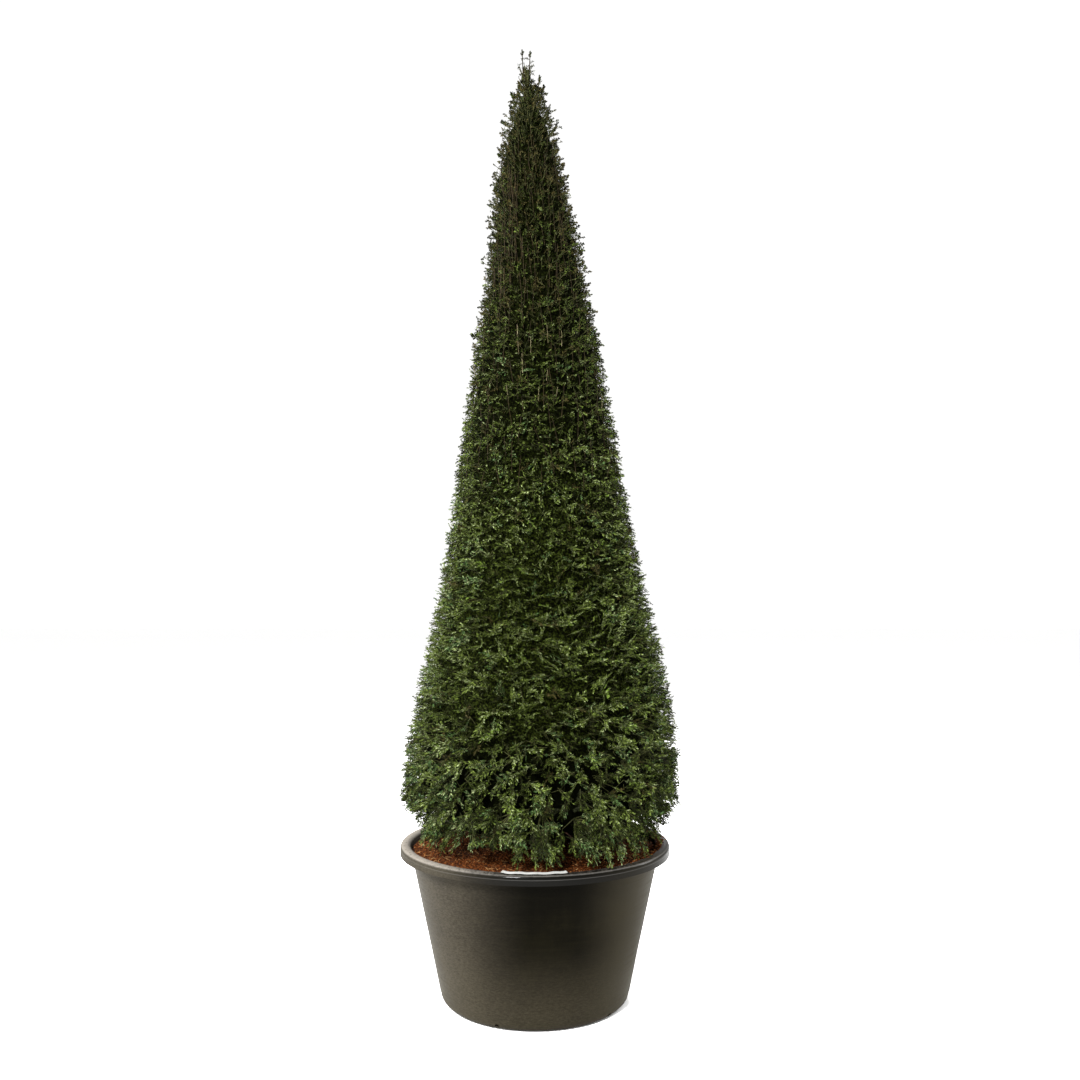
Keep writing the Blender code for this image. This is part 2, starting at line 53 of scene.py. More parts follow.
# %% [markdown]
# ## Camera
#
# The plant is shown from standing height, a little over four metres away, with the lens tipped up
# by less than three degrees. A camera that is nearly level keeps the tub's wall and the cone's
# axis upright, and it looks down on the rim just enough to show the soil.

# %% Camera
EYE = (0.0197, -4.190, 1.575)
EYE_PITCH_DEG = 2.79
LENS_MM = 35.07

camera = bpy.data.cameras.new("view")
camera.lens = LENS_MM
camera.sensor_width = 36.0
camera_object = bpy.data.objects.new("view", camera)
camera_object.location = EYE
camera_object.rotation_euler = (math.radians(90.0 + EYE_PITCH_DEG), 0.0, 0.0)
bpy.context.scene.collection.objects.link(camera_object)
bpy.context.scene.camera = camera_object
print("camera", EYE, "lens", LENS_MM)

# %% [markdown]
# ## Light and floor
#
# Dark needles need a bright, even surrounding: the world is a plain white dome, and four big soft
# panels give it a direction. Those on the left are the stronger, so the cone's left side and the
# left of the tub are lighter. The floor is one pale plane under the tub.

# %% Light
DOME_STRENGTH = 1.04
PANELS = (  # name, place, width, watts
    ("key_panel", (-2.0, -5.7, 4.9), 1.3, 1400.0),
    ("left_panel", (-5.2, 1.2, 3.2), 2.0, 540.0),
    ("right_panel", (5.4, 1.8, 3.4), 2.0, 250.0),
    ("back_panel", (0.6, 6.2, 4.6), 2.0, 800.0),
)
AIM = Vector((0.0, 0.0, 1.5))

world = bpy.data.worlds.new("white_dome")
world.use_nodes = True
dome = world.node_tree.nodes["Background"]
dome.inputs["Color"].default_value = (1.0, 1.0, 1.0, 1.0)
dome.inputs["Strength"].default_value = DOME_STRENGTH
bpy.context.scene.world = world
bpy.context.scene.view_settings.view_transform = "Standard"

for name, place, width, watts in PANELS:
    panel = bpy.data.lights.new(name, "AREA")
    panel.shape = "SQUARE"
    panel.size = width
    panel.energy = watts
    panel_object = bpy.data.objects.new(name, panel)
    panel_object.location = place
    panel_object.rotation_euler = (AIM - Vector(place)).to_track_quat("-Z", "Y").to_euler()
    bpy.context.scene.collection.objects.link(panel_object)
print("panels", [panel[0] for panel in PANELS])

# %% [markdown]
# ## Materials by arithmetic
#
# A node tree is easier to read as a sum. `Wire` holds one output socket and turns `+ - *` into Math
# nodes, so that `1 - dust * 0.5` is a piece of shader. Every other node comes from `Finish.add`,
# which sets the node's options first and then its sockets.

# %% Wires and finishes
class Wire:
    """An output socket that takes part in arithmetic."""

    def __init__(self, finish, socket):
        self.finish = finish
        self.socket = socket

    def math(self, operation, first, second):
        return self.finish.add("Math", {"operation": operation}, **{"0": first, "1": second})

    def __add__(self, other):
        return self.math("ADD", self, other)

    def __rsub__(self, other):
        return self.math("SUBTRACT", other, self)

    def __mul__(self, other):
        return self.math("MULTIPLY", self, other)

    __radd__ = __add__
    __rmul__ = __mul__


class Finish:
    """A Principled material and the nodes that feed it."""

    def __init__(self, name, colour, roughness, specular=0.5):
        self.material = bpy.data.materials.new(name)
        self.material.use_nodes = True
        self.tree = self.material.node_tree
        self.shader = self.tree.nodes["Principled BSDF"]
        self.set("Base Color", (*colour, 1.0))
        self.set("Roughness", roughness)
        self.set("Specular IOR Level", specular)

    def set(self, socket_name, value):
        self.join(self.shader.inputs[socket_name], value)

    def join(self, socket, value):
        if isinstance(value, Wire):
            self.tree.links.new(value.socket, socket)
        else:
            socket.default_value = value

    def add(self, kind, settings=None, out=0, **sockets):
        node = self.tree.nodes.new("ShaderNode" + kind)
        for name, value in (settings or {}).items():
            setattr(node, name, value)
        for name, value in sockets.items():
            key = int(name) if name.isdigit() else name.replace("_", " ")
            self.join(node.inputs[key], value)
        return Wire(self, node.outputs[out])

    def place(self, stretch=(1.0, 1.0, 1.0)):
        """Object coordinates, stretched by a factor on each axis."""
        return self.add("Mapping", Vector=self.add("TexCoord", out="Object"), Scale=stretch)

    def part(self, axis, vector=None):
        """One coordinate of a vector, which is the place on the piece unless another is given."""
        return self.add("SeparateXYZ", out=axis, Vector=vector or self.place())

    def noise(self, scale, detail=4.0, rough=0.55, stretch=(1.0, 1.0, 1.0)):
        here = self.place(stretch)
        return self.add("TexNoise", Vector=here, Scale=scale, Detail=detail, Roughness=rough)

    def step(self, wire, low, high):
        """0 below low, 1 above high and a smooth rise between."""
        smooth = {"interpolation_type": "SMOOTHSTEP"}
        return self.add("MapRange", smooth, Value=wire, From_Min=low, From_Max=high)

    def mix(self, share, first, second):
        """A blend of two colours."""
        first, second = (c if isinstance(c, Wire) else (*c, 1.0) for c in (first, second))
        return self.add("Mix", {"data_type": "RGBA"}, 2, **{"0": share, "6": first, "7": second})

    def bump(self, height, depth, strength=1.0):
        """Feeds a height, in shares of depth metres, to the surface's normal."""
        self.set("Normal", self.add("Bump", Strength=strength, Distance=depth, Height=height))


# %% [markdown]
# ## From a bmesh to a finished piece
#
# Every piece is made at the origin with its place in its mesh, rides on the one body of the plant,
# and hides the CAD solids that it stands for.

# %% Pieces
def linked(name, mesh):
    """A new object in the scene."""
    made = bpy.data.objects.new(name, mesh)
    bpy.context.scene.collection.objects.link(made)
    return made


def piece_from(name, mesh, finish, slot, *nodes, smooth_deg=None):
    """Links a mesh as a piece of the plant, and hides the CAD nodes that it stands for."""
    mesh.materials.append(finish.material)
    piece = linked(name, mesh)
    if smooth_deg is not None:
        mesh.shade_smooth()
        mesh.set_sharp_from_angle(angle=math.radians(smooth_deg))
    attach(piece, "root")
    if nodes:
        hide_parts(*nodes)
    print(name, len(mesh.loops) - 2 * len(mesh.polygons), "triangles")


def mesh_from(name, shape):
    """Ends a bmesh as a mesh with its faces pointing out."""
    shape.normal_update()
    bmesh.ops.recalc_face_normals(shape, faces=shape.faces)
    mesh = bpy.data.meshes.new(name)
    shape.to_mesh(mesh)
    shape.free()
    return mesh


def outward(azimuth):
    """The level direction of an azimuth in radians: 0 is the front, a quarter turn the right."""
    return Vector((math.sin(azimuth), -math.cos(azimuth), 0.0))


def slanted(azimuth, pitch):
    """The direction of an azimuth that rises by a pitch."""
    return outward(azimuth) * math.cos(pitch) + Vector((0, 0, math.sin(pitch)))


# %% Floor
FLOOR_SIZE = 40.0

floor_shape = bmesh.new()
bmesh.ops.create_grid(floor_shape, x_segments=1, y_segments=1, size=FLOOR_SIZE)
floor = linked("floor", mesh_from("floor", floor_shape))
floor.data.materials.append(Finish("pale_floor", (0.95, 0.95, 0.945), 0.9).material)
floor.location.z = -0.0005  # clear of the tub's foot

# %% [markdown]
# ## The tub
#
# A nursery tub is one thin moulded skin: floor, wall and a rim that folds out and down to a lip. It
# could be a Screw modifier on a curve. Here the skin's line is drawn as a chain of edges, `spin`
# carries it all the way round, and a Solidify modifier gives the sheet its thickness, so the lip is
# hollow underneath as on the real one.

# %% The tub's line
SHEET = 0.006
TUB_HEIGHT = 0.600
RIM_RADIUS = 0.525
WALL_TOP_RADIUS = 0.490
WALL_FOOT_RADIUS = 0.3585
LIP_DROP = 0.038
FLOOR_SHARE = 0.62  # of the foot's radius, where the flat floor has its first ring
RIM_FALL = 0.016  # the width of the rim's outer shoulder
TUB_STEPS = 192
MIDDLE = SHEET / 2
TOP = TUB_HEIGHT - MIDDLE
WALL_STEPS = (  # heights up the wall, and how far it stands out there: two faint steps
    (0.040, 0.0), (0.048, 0.0010), (0.200, 0.0), (0.380, 0.0), (0.524, 0.0), (0.530, 0.0016),
    (TOP, 0.0016),
)
BENDS = ((2, 0.026), (9, 0.013), (11, 0.007))  # the line's soft corners: place in it, width


def wall_radius(height, inset=0.0):
    slope = (WALL_TOP_RADIUS - WALL_FOOT_RADIUS) / TUB_HEIGHT
    return WALL_FOOT_RADIUS + slope * height - inset * math.hypot(1.0, slope)


def line_shape(points):
    """A chain of edges through (radius, height) points, in the XZ plane."""
    shape = bmesh.new()
    chain = [shape.verts.new((radius, 0.0, height)) for radius, height in points]
    for start, end in zip(chain, chain[1:]):
        shape.edges.new((start, end))
    return shape


def round_corners(shape, bends, segments):
    """Bevels corners of the chain, each given as (place in the chain, width)."""
    shape.verts.ensure_lookup_table()
    for corner, width in [(shape.verts[place], width) for place, width in bends]:
        bmesh.ops.bevel(
            shape, geom=[corner], offset=width, offset_type="OFFSET", segments=segments,
            profile=0.5, affect="VERTICES", material=-1,
        )


def spun(shape, steps):
    """Turns every edge of a chain once round the Z axis and closes the seam and the pole."""
    bmesh.ops.spin(
        shape, geom=shape.verts[:] + shape.edges[:], axis=(0, 0, 1), cent=(0, 0, 0),
        angle=math.tau, steps=steps, use_merge=True,
    )
    bmesh.ops.remove_doubles(shape, verts=shape.verts, dist=1e-6)
    return shape


tub_line = [
    (0.0, MIDDLE), (wall_radius(0.0, MIDDLE) * FLOOR_SHARE, MIDDLE),
    (wall_radius(MIDDLE, MIDDLE), MIDDLE),
    *[(wall_radius(height, MIDDLE) + rise, height) for height, rise in WALL_STEPS],
    (RIM_RADIUS - RIM_FALL, TOP + 0.0005), (RIM_RADIUS - MIDDLE, TOP - 0.004),
    (RIM_RADIUS - MIDDLE, TUB_HEIGHT - LIP_DROP),
]
tub_shape = line_shape(tub_line)
round_corners(tub_shape, BENDS, 6)
tub_mesh = mesh_from("tub_skin", spun(tub_shape, TUB_STEPS))
print("tub line has", len(tub_line), "corners")

# %% [markdown]
# The drain holes are punched with Boolean cutters after the skin has its thickness, which is what
# a moulder's pins do. The modifiers are applied, so nothing but the finished mesh is left.

# %% Drain holes
DRAIN_HOLES = 5
DRAIN_RADIUS = 0.009
DRAIN_FIRST_DEG = -22.0
DRAIN_FALL = 0.55  # how far the holes point down, for 1 out
FOOT_BEND = 0.028


def applied(piece):
    """The piece's mesh with all of its modifiers carried out."""
    bpy.context.view_layer.update()
    graph = bpy.context.evaluated_depsgraph_get()
    mesh = bpy.data.meshes.new_from_object(piece.evaluated_get(graph))
    piece.modifiers.clear()
    return mesh


def punched(mesh):
    """Thickens the tub's skin and punches its drain holes."""
    skin = linked("tub_work", mesh)
    sheet = skin.modifiers.new("sheet", "SOLIDIFY")
    sheet.thickness = SHEET
    sheet.offset = 0.0
    sheet.use_even_offset = True
    punches = bmesh.new()
    for hole in range(DRAIN_HOLES):
        azimuth = math.radians(DRAIN_FIRST_DEG) + hole * math.tau / DRAIN_HOLES
        direction = (outward(azimuth) - Vector((0, 0, DRAIN_FALL))).normalized()
        bend = outward(azimuth) * (WALL_FOOT_RADIUS - FOOT_BEND * 0.12)
        bend += Vector((0, 0, FOOT_BEND * 0.62))
        turn = direction.to_track_quat("Z", "Y").to_matrix().to_4x4()
        bmesh.ops.create_cone(
            punches, cap_ends=True, segments=20, radius1=DRAIN_RADIUS, radius2=DRAIN_RADIUS,
            depth=0.08, matrix=Matrix.Translation(bend) @ turn,
        )
    cutter = linked("punches", mesh_from("punches", punches))
    cut = skin.modifiers.new("drains", "BOOLEAN")
    cut.operation = "DIFFERENCE"
    cut.solver = "EXACT"
    cut.object = cutter
    made = applied(skin)
    for helper in (skin, cutter):
        bpy.data.objects.remove(helper)
    return made


tub_mesh = punched(tub_mesh)

# %% [markdown]
# Black polyethylene is never just black. It has a grey bloom, dust that settles on everything that
# faces up, pale scuffs that run round the wall, and dried splashes near the foot. The dust follows
# the surface's own normal, so the flat of the rim is far paler than the wall. Light and shade are
# painted in as well: the left side and the right edge are painted lighter, the pale foot is partly
# a painted reflection of the floor, the rim and the wall just under it carry painted shade except
# on the left, and thin painted highlights run along the rim's edges. Each layer is a mask and a
# colour, laid over the last in turn.

# %% Tub plastic
plastic = Finish("tub_plastic", (0.012, 0.010, 0.006), 0.36, 0.014)
lift = plastic.part("Z", plastic.add("NewGeometry", out="Normal"))
height_here, across_here = plastic.part("Z"), plastic.part("X")


def band(*drops):
    """A line round the rim that starts, is full, fades and ends at drops below the top."""
    start, full, fading, gone = (TUB_HEIGHT - drop for drop in drops)
    return plastic.step(height_here, start, full) * (1 - plastic.step(height_here, fading, gone))


cloud = plastic.noise(5.0, detail=6.0, rough=0.62)
speckle = plastic.noise(240.0, detail=2.0)
scuffs = plastic.noise(4.0, detail=8.0, rough=0.80, stretch=(1.0, 1.0, 24.0))
scuffs = plastic.step(scuffs, 0.46, 0.74)
runs = plastic.noise(26.0, detail=4.0, rough=0.6, stretch=(1.0, 1.0, 0.09))
runs = plastic.step(runs, 0.50, 0.80)
grime = plastic.noise(85.0, detail=5.0, rough=0.7)
turning = plastic.noise(70.0, detail=5.0, rough=0.65, stretch=(1.0, 1.0, 4.0)) + speckle * 0.4
# Two thin lighter lines along the rim's rounded edges: painted highlights.
painted_rim_highlights = band(0.0068, 0.0050, 0.0036, 0.0018) + band(0.0196, 0.0184, 0.0176, 0.0162) * 0.6
to_left = plastic.step(across_here * -1, 0.00, 0.46)
# The right edge is painted lighter: a painted reflection of the bright room at the wall's grazing
# edge.
right_painted_light = plastic.step(across_here, 0.14, 0.47)
at_rim = plastic.step(height_here, 0.545, 0.565)
# The rim away from the left side is painted darker: painted shade. Only there does it get a thin
# clear coat.
rim_painted_shade = at_rim * (1 - to_left)
# The wall's upper part below the rim is painted darker, except on the left: painted shade under the
# lip.
under_lip_painted_shade = plastic.step(height_here, 0.38, 0.50) * (1 - to_left)
# Dust on faces that point up; its extra amount and paler tone on the left side is painted light.
top_dust_and_light = plastic.step(grime + speckle * 0.3 + to_left * 0.22, 0.52, 0.92)
top_dust_and_light = plastic.step(lift, 0.35, 0.95) * top_dust_and_light
# Lighter towards the foot: dust and splashes, and partly a painted reflection of the pale floor.
foot_dust_and_reflection = 0.50 + plastic.step(turning, 0.50, 0.95) * 0.50
foot_dust_and_reflection = (1 - plastic.step(height_here, 0.00, 0.36)) * foot_dust_and_reflection
# The left side is painted lighter: painted light from the left, mottled like dust.
left_dust_and_light = to_left * (0.48 + plastic.step(turning + cloud * 0.4, 0.72, 1.15) * 0.52)
clouded = plastic.step(cloud, 0.34, 0.68)
body = plastic.mix(clouded, (0.0011, 0.0009, 0.0004), (0.0026, 0.0022, 0.0009))
for share, colour in (
    (scuffs * 0.09, (0.030, 0.026, 0.014)),
    (runs * 0.04, (0.034, 0.029, 0.016)),
    (under_lip_painted_shade * 0.65, (0.0012, 0.0010, 0.0005)),
    (left_dust_and_light * 0.46, (0.092, 0.080, 0.059)),
    (right_painted_light * 0.34, (0.072, 0.061, 0.037)),
    (foot_dust_and_reflection * 0.46, (0.050, 0.043, 0.028)),
    (rim_painted_shade * 0.75, (0.0010, 0.0009, 0.0006)),
    (painted_rim_highlights * (0.10 + cloud * 0.36), (0.13, 0.125, 0.115)),
    (top_dust_and_light * (0.16 + to_left * 0.62), (0.20, 0.18, 0.155)),
):
    body = plastic.mix(share, body, colour)
shine = 0.42 - at_rim * (0.18 - to_left * 0.24)
plastic.set("Base Color", body)
plastic.set("Coat Roughness", 0.09)
plastic.set("Coat Weight", rim_painted_shade * 0.09)
plastic.set("Roughness", shine + cloud * 0.14 + top_dust_and_light * 0.25 + scuffs * 0.14)
plastic.bump(speckle * 0.3 + plastic.noise(60.0, detail=2.0) * 0.7, 0.0006, 0.35)
piece_from("tub_shell", tub_mesh, plastic, "tub_plastic", "tub", smooth_deg=32)

# %% [markdown]
# ## The crown's named sizes
#
# The foliage of the source is grown by a rule with a few named sizes: an axis that leans, a clipped
# radius at each height, and tiers that are cut into sectors. The same sizes are repeated here, so
# the fine growth stays inside the same reach.

# %% Crown sizes
CROWN_AXIS = (  # height and lean to the right; the tables below have (height, value) pairs too
    (0.60, 0.018), (1.30, 0.036), (2.20, 0.015), (2.80, 0.004), (3.20, -0.019), (3.78, -0.034),
)
CLIPPED_RADIUS = (
    (0.62, 0.470), (0.76, 0.535), (0.95, 0.532), (1.15, 0.497), (1.50, 0.422), (1.75, 0.370),
    (2.30, 0.284), (2.80, 0.202), (3.10, 0.157), (3.35, 0.119), (3.48, 0.092), (3.60, 0.056),
    (3.74, 0.024),
)
TIER_PITCH_DEG = (
    (0.64, -18), (0.86, -14), (1.26, -6), (1.72, 0), (2.22, 8), (2.76, 18), (3.25, 28),
)
FRINGE = ((0.66, 0.095), (0.90, 0.066), (1.40, 0.058), (2.40, 0.048), (3.00, 0.038), (3.50, 0.030))
SOIL_EDGE = 0.574
SOIL_LEVEL = 0.592
SOIL_SEAT = 0.606
SOIL_SEAT_RADIUS = 0.145
SOIL_BANK = 0.020
SOIL_BANK_AT = (0.30, 0.16)
SOIL_BANK_RADIUS = 0.17
GAP = 0.0003


def between(pairs, height):
    """The value at a height, or at many heights, on straight lines through the pairs."""
    heights, values = zip(*pairs)
    return np.interp(height, heights, values)


def at(pairs, height):
    """The same at one height, as a plain number."""
    return float(between(pairs, height))


def axis_point(height):
    return Vector((at(CROWN_AXIS, height), 0.0, height))


print("crown is widest at", max(CLIPPED_RADIUS, key=lambda pair: pair[1]))

# %% [markdown]
# ## Soil
#
# Potting bark is a crust of chips over a lumpy surface. The surface starts as a chain of edges that
# is spun into rings and pushed up and down by noise. The chips are the part that a flat texture
# can't give: a few small blocks are squashed and bent, then thousands of copies are laid on the
# surface by arrays and joined into one piece for each tone.

# %% Soil surface
SOIL_SPOKES = 220
SOIL_RINGS = 84
SOIL_CUT = 0.45  # how far down the scene's soil reaches, out of sight
CRUST = (38, 0.0035)  # how fine and how high the crumbs of the crust are


def soil_height(x, y):
    """The height of the heap, with its bank and its flat seat under the trunk."""
    edge_radius = wall_radius(SOIL_EDGE, SHEET)
    radius = math.hypot(x, y)
    to_edge = max(0.0, 1.0 - (radius / edge_radius) ** 8)
    bank_distance = math.hypot(x - SOIL_BANK_AT[0], y - SOIL_BANK_AT[1])
    bank = SOIL_BANK * math.exp(-((bank_distance / SOIL_BANK_RADIUS) ** 2))
    lumps = 0.003 * math.sin(23 * x + 1.0) * math.cos(19 * y) + 0.002 * math.sin(41 * y + 17 * x)
    open_face = SOIL_LEVEL + bank + lumps
    from_trunk = (math.hypot(x - axis_point(SOIL_SEAT).x, y) / SOIL_SEAT_RADIUS) - 1.0
    leave_seat = min(1.0, max(0.0, from_trunk * 2.0))
    inner_face = SOIL_SEAT + (open_face - SOIL_SEAT) * leave_seat
    return SOIL_EDGE + (inner_face - SOIL_EDGE) * to_edge


def crust_height(x, y):
    """The same with the roughness of the bark crust."""
    crumbs = CRUST[1] * field.fractal(Vector((x * CRUST[0], y * CRUST[0], 3.0)), 0.9, 2.1, 4)
    return soil_height(x, y) + crumbs - 0.002


soil_reach = wall_radius(SOIL_EDGE, SHEET + GAP)
soil_shape = line_shape([(0.0, SOIL_LEVEL)] + [
    (soil_reach * (ring + 1) / SOIL_RINGS, SOIL_LEVEL) for ring in range(SOIL_RINGS)
])
spun(soil_shape, SOIL_SPOKES)
for vertex in soil_shape.verts:
    vertex.co.z = crust_height(vertex.co.x, vertex.co.y)
edge_ring = [edge for edge in soil_shape.edges if edge.is_boundary]
for vertex in bmesh.ops.extrude_edge_only(soil_shape, edges=edge_ring)["geom"]:
    if isinstance(vertex, bmesh.types.BMVert):
        radius = max(math.hypot(vertex.co.x, vertex.co.y), 1e-6)
        shrink = wall_radius(SOIL_CUT, SHEET + GAP) / radius
        vertex.co = Vector((vertex.co.x * shrink, vertex.co.y * shrink, SOIL_CUT))
edge_ring = [edge for edge in soil_shape.edges if edge.is_boundary]
underside = [edge for edge in soil_shape.edges if edge.is_boundary]
bmesh.ops.contextual_create(soil_shape, geom=underside)

bark_bed = Finish("bark_bed", (0.06, 0.026, 0.011), 0.95, 0.06)
grain = bark_bed.noise(90.0, detail=6.0, rough=0.7)
damp = bark_bed.step(bark_bed.noise(11.0, detail=3.0), 0.4, 0.7) * 0.5
crumb = bark_bed.step(grain, 0.36, 0.66)
crumb = bark_bed.mix(crumb, (0.012, 0.003, 0.0006), (0.066, 0.018, 0.003))
bark_bed.set("Base Color", bark_bed.mix(damp, crumb, (0.032, 0.010, 0.002)))
bark_bed.bump(grain, 0.004, 0.8)
soil_mesh = mesh_from("soil_bed", soil_shape)
piece_from("soil_bed", soil_mesh, bark_bed, "soil_mix", "soil", smooth_deg=60)

# %% Many copies as one mesh
def arrays_of(shape):
    """The points and triangles of a bmesh as arrays, which empties it."""
    bmesh.ops.triangulate(shape, faces=shape.faces)
    shape.verts.index_update()
    points = np.array([vertex.co[:] for vertex in shape.verts])
    triangles = np.array([[vertex.index for vertex in face.verts] for face in shape.faces])
    shape.free()
    return points, triangles


def joined_mesh(name, batches):
    """One mesh from (points of many copies, triangles of one copy) batches."""
    all_points, all_triangles, start = [], [], 0
    for points, triangles in batches:
        copies, size = points.shape[:2]
        offsets = start + np.arange(copies) * size
        all_points.append(points.reshape(-1, 3))
        all_triangles.append((triangles[None] + offsets[:, None, None]).reshape(-1, 3))
        start += copies * size
    points = np.concatenate(all_points).astype(np.float32)
    triangles = np.concatenate(all_triangles).astype(np.int32)
    mesh = bpy.data.meshes.new(name)
    mesh.vertices.add(len(points))
    mesh.vertices.foreach_set("co", points.ravel())
    mesh.loops.add(triangles.size)
    mesh.loops.foreach_set("vertex_index", triangles.ravel())
    mesh.polygons.add(len(triangles))
    mesh.polygons.foreach_set("loop_start", np.arange(0, triangles.size, 3, dtype=np.int32))
    mesh.update(calc_edges=True)
    mesh.validate()
    return mesh


def random_turns(rng, count, tilt_deg):
    """Random turns about Z with a random tilt up to a limit, as an array of 3x3 matrices."""
    made = []
    for _ in range(count):
        tilt = Matrix.Rotation(math.radians(rng.uniform(-tilt_deg, tilt_deg)), 3, "X")
        lean = Matrix.Rotation(math.radians(rng.uniform(-tilt_deg, tilt_deg)), 3, "Y")
        made.append(Matrix.Rotation(rng.uniform(0, math.tau), 3, "Z") @ tilt @ lean)
    return np.array(made)


print("an array of three random turns is", random_turns(random.Random(1), 3, 20).shape)

# %% Bark chips
CHIP_TONES = (  # name, colour, roughness, copies, size
    ("chips_dark", (0.022, 0.006, 0.0012), 0.90, 4200, 0.0072),
    ("chips_red", (0.084, 0.024, 0.005), 0.90, 6400, 0.0078),
    ("chips_tan", (0.190, 0.080, 0.026), 0.85, 1200, 0.0066),
    ("fibres", (0.230, 0.125, 0.050), 0.85, 600, 0.0110),
)
CHIP_SHAPES = 4  # of each tone
CHIP_TILT_DEG = 34
SPILT = 0.05  # the share of chips on the rim, where the soil was banked up
SPILL_DEG = (104, 24)  # the middle of the spill and its spread


def chip_shape(seed, fibre):
    """A splinter of bark with four faces, or a thin fibre."""
    dice = random.Random(seed)
    shape = bmesh.new()
    bmesh.ops.create_cone(shape, cap_ends=True, segments=3, radius1=0.7, radius2=0.0, depth=0.8)
    stretch = (3.0, 0.16, 0.20) if fibre else (dice.uniform(0.9, 1.9), dice.uniform(0.6, 1.0), 0.55)
    bmesh.ops.scale(shape, verts=shape.verts, vec=stretch)
    for vertex in shape.verts:
        vertex.co += Vector([dice.uniform(-0.18, 0.18) * (0.3 if fibre else 1.0) for _ in range(3)])
    return arrays_of(shape)


def scatter_chips(rng, count, size):
    """Places and turns for chips: all over the heap, and a few on the rim."""
    places = []
    edge = wall_radius(SOIL_EDGE, SHEET) - 0.004
    while len(places) < count:
        if rng.random() < SPILT:
            azimuth = rng.gauss(*(math.radians(degrees) for degrees in SPILL_DEG))
            radius = edge + abs(rng.gauss(0.0, 0.014))
            if radius > RIM_RADIUS - 0.012:
                continue
            spot = outward(azimuth) * radius
            ground = TUB_HEIGHT if radius > edge + 0.008 else TUB_HEIGHT - 0.006
        else:
            azimuth = rng.uniform(0, math.tau)
            spot = outward(azimuth) * (edge * math.sqrt(rng.uniform(0.04, 1.0)))
            ground = crust_height(spot.x, spot.y)
        places.append((spot.x, spot.y, ground + size * 0.10))
    turns = random_turns(rng, count, CHIP_TILT_DEG)
    sizes = np.array([size * rng.uniform(0.45, 1.5) for _ in range(count)])
    return np.array(places), turns * sizes[:, None, None]


for number, (name, colour, roughness, copies, size) in enumerate(CHIP_TONES):
    rng = random.Random(400 + number)
    batches = []
    for kind in range(CHIP_SHAPES):
        points, triangles = chip_shape(40 * number + kind, name == "fibres")
        places, turns = scatter_chips(rng, copies // CHIP_SHAPES, size)
        batches.append((np.einsum("nij,pj->npi", turns, points) + places[:, None], triangles))
    finish = Finish(name, colour, roughness, 0.06)
    flecks = finish.noise(160.0, detail=3.0)
    dark, light = ([c * share for c in colour] for share in (0.55, 1.5))
    finish.set("Base Color", finish.mix(flecks, dark, light))
    finish.bump(flecks, 0.001, 0.5)
    piece_from(name, joined_mesh(name, batches), finish, "soil_mix")

# %% [markdown]
# ## The label
#
# A bare strip of white plastic lies on the front of the rim. It starts as a grid, is curved round
# the rim, and waves up and down a little because nothing glues it.

# %% Label
LABEL_LENGTH = 0.228
LABEL_WIDTH = 0.025
LABEL_THICKNESS = 0.0006
LABEL_LIFT = 0.0009  # over the rim
LABEL_RADIUS = 0.512 - LABEL_WIDTH / 2

label_shape = bmesh.new()
bmesh.ops.create_grid(label_shape, x_segments=60, y_segments=5, size=0.5)
for vertex in label_shape.verts:
    along, across = vertex.co.x, vertex.co.y
    wave = 0.0012 * (1 + math.sin(23.0 * along + 0.8)) * (0.4 + 0.6 * abs(2 * along))
    wave += 0.0016 * (2 * along) ** 6
    radius = LABEL_RADIUS + across * LABEL_WIDTH + 0.0012 * math.sin(9 * along)
    vertex.co = outward(along * LABEL_LENGTH / LABEL_RADIUS) * radius
    vertex.co.z = TUB_HEIGHT + LABEL_LIFT + wave
bmesh.ops.solidify(label_shape, geom=label_shape.faces[:], thickness=LABEL_THICKNESS)
strip = Finish("label_strip", (0.36, 0.36, 0.345), 0.38)
smudge = strip.noise(34.0, detail=4.0)
dirty = strip.step(smudge, 0.48, 0.80) * 0.5
strip.set("Base Color", strip.mix(dirty, (0.38, 0.38, 0.365), (0.23, 0.215, 0.18)))
strip.set("Roughness", 0.32 + smudge * 0.25)
label_mesh = mesh_from("label_tape", label_shape)
piece_from("label_tape", label_mesh, strip, "label_strip", "label", smooth_deg=40)

# %% [markdown]
# ## Trunk
#
# Yew bark flakes off in long plates over a fluted stem. The trunk is a cone from `create_cone`
# cut into rings by `subdivide_edges`. Each point is then pushed out by the flare, the flutes and
# a noise that is stretched along the stem.

# %% Trunk
TRUNK_FOOT = SOIL_SEAT + GAP
TRUNK_TIP = 3.250
TRUNK_RADIUS = 0.046
TRUNK_TIP_RADIUS = 0.009
FLARE = 0.034
FLARE_HEIGHT = 0.07
FLARE_LOBES = 5


def trunk_radius(height):
    share = (height - TRUNK_FOOT) / (TRUNK_TIP - TRUNK_FOOT)
    return TRUNK_RADIUS + (TRUNK_TIP_RADIUS - TRUNK_RADIUS) * share


def column_shape(sides, cuts):
    """A closed column of radius 1 from -1 to 1 on Z, cut into rings."""
    shape = bmesh.new()
    bmesh.ops.create_cone(shape, cap_ends=True, segments=sides, radius1=1.0, radius2=1.0, depth=2.0)
    upright = [edge for edge in shape.edges if abs(edge.verts[0].co.z - edge.verts[1].co.z) > 1.0]
    bmesh.ops.subdivide_edges(shape, edges=upright, cuts=cuts, use_grid_fill=True)
    return shape


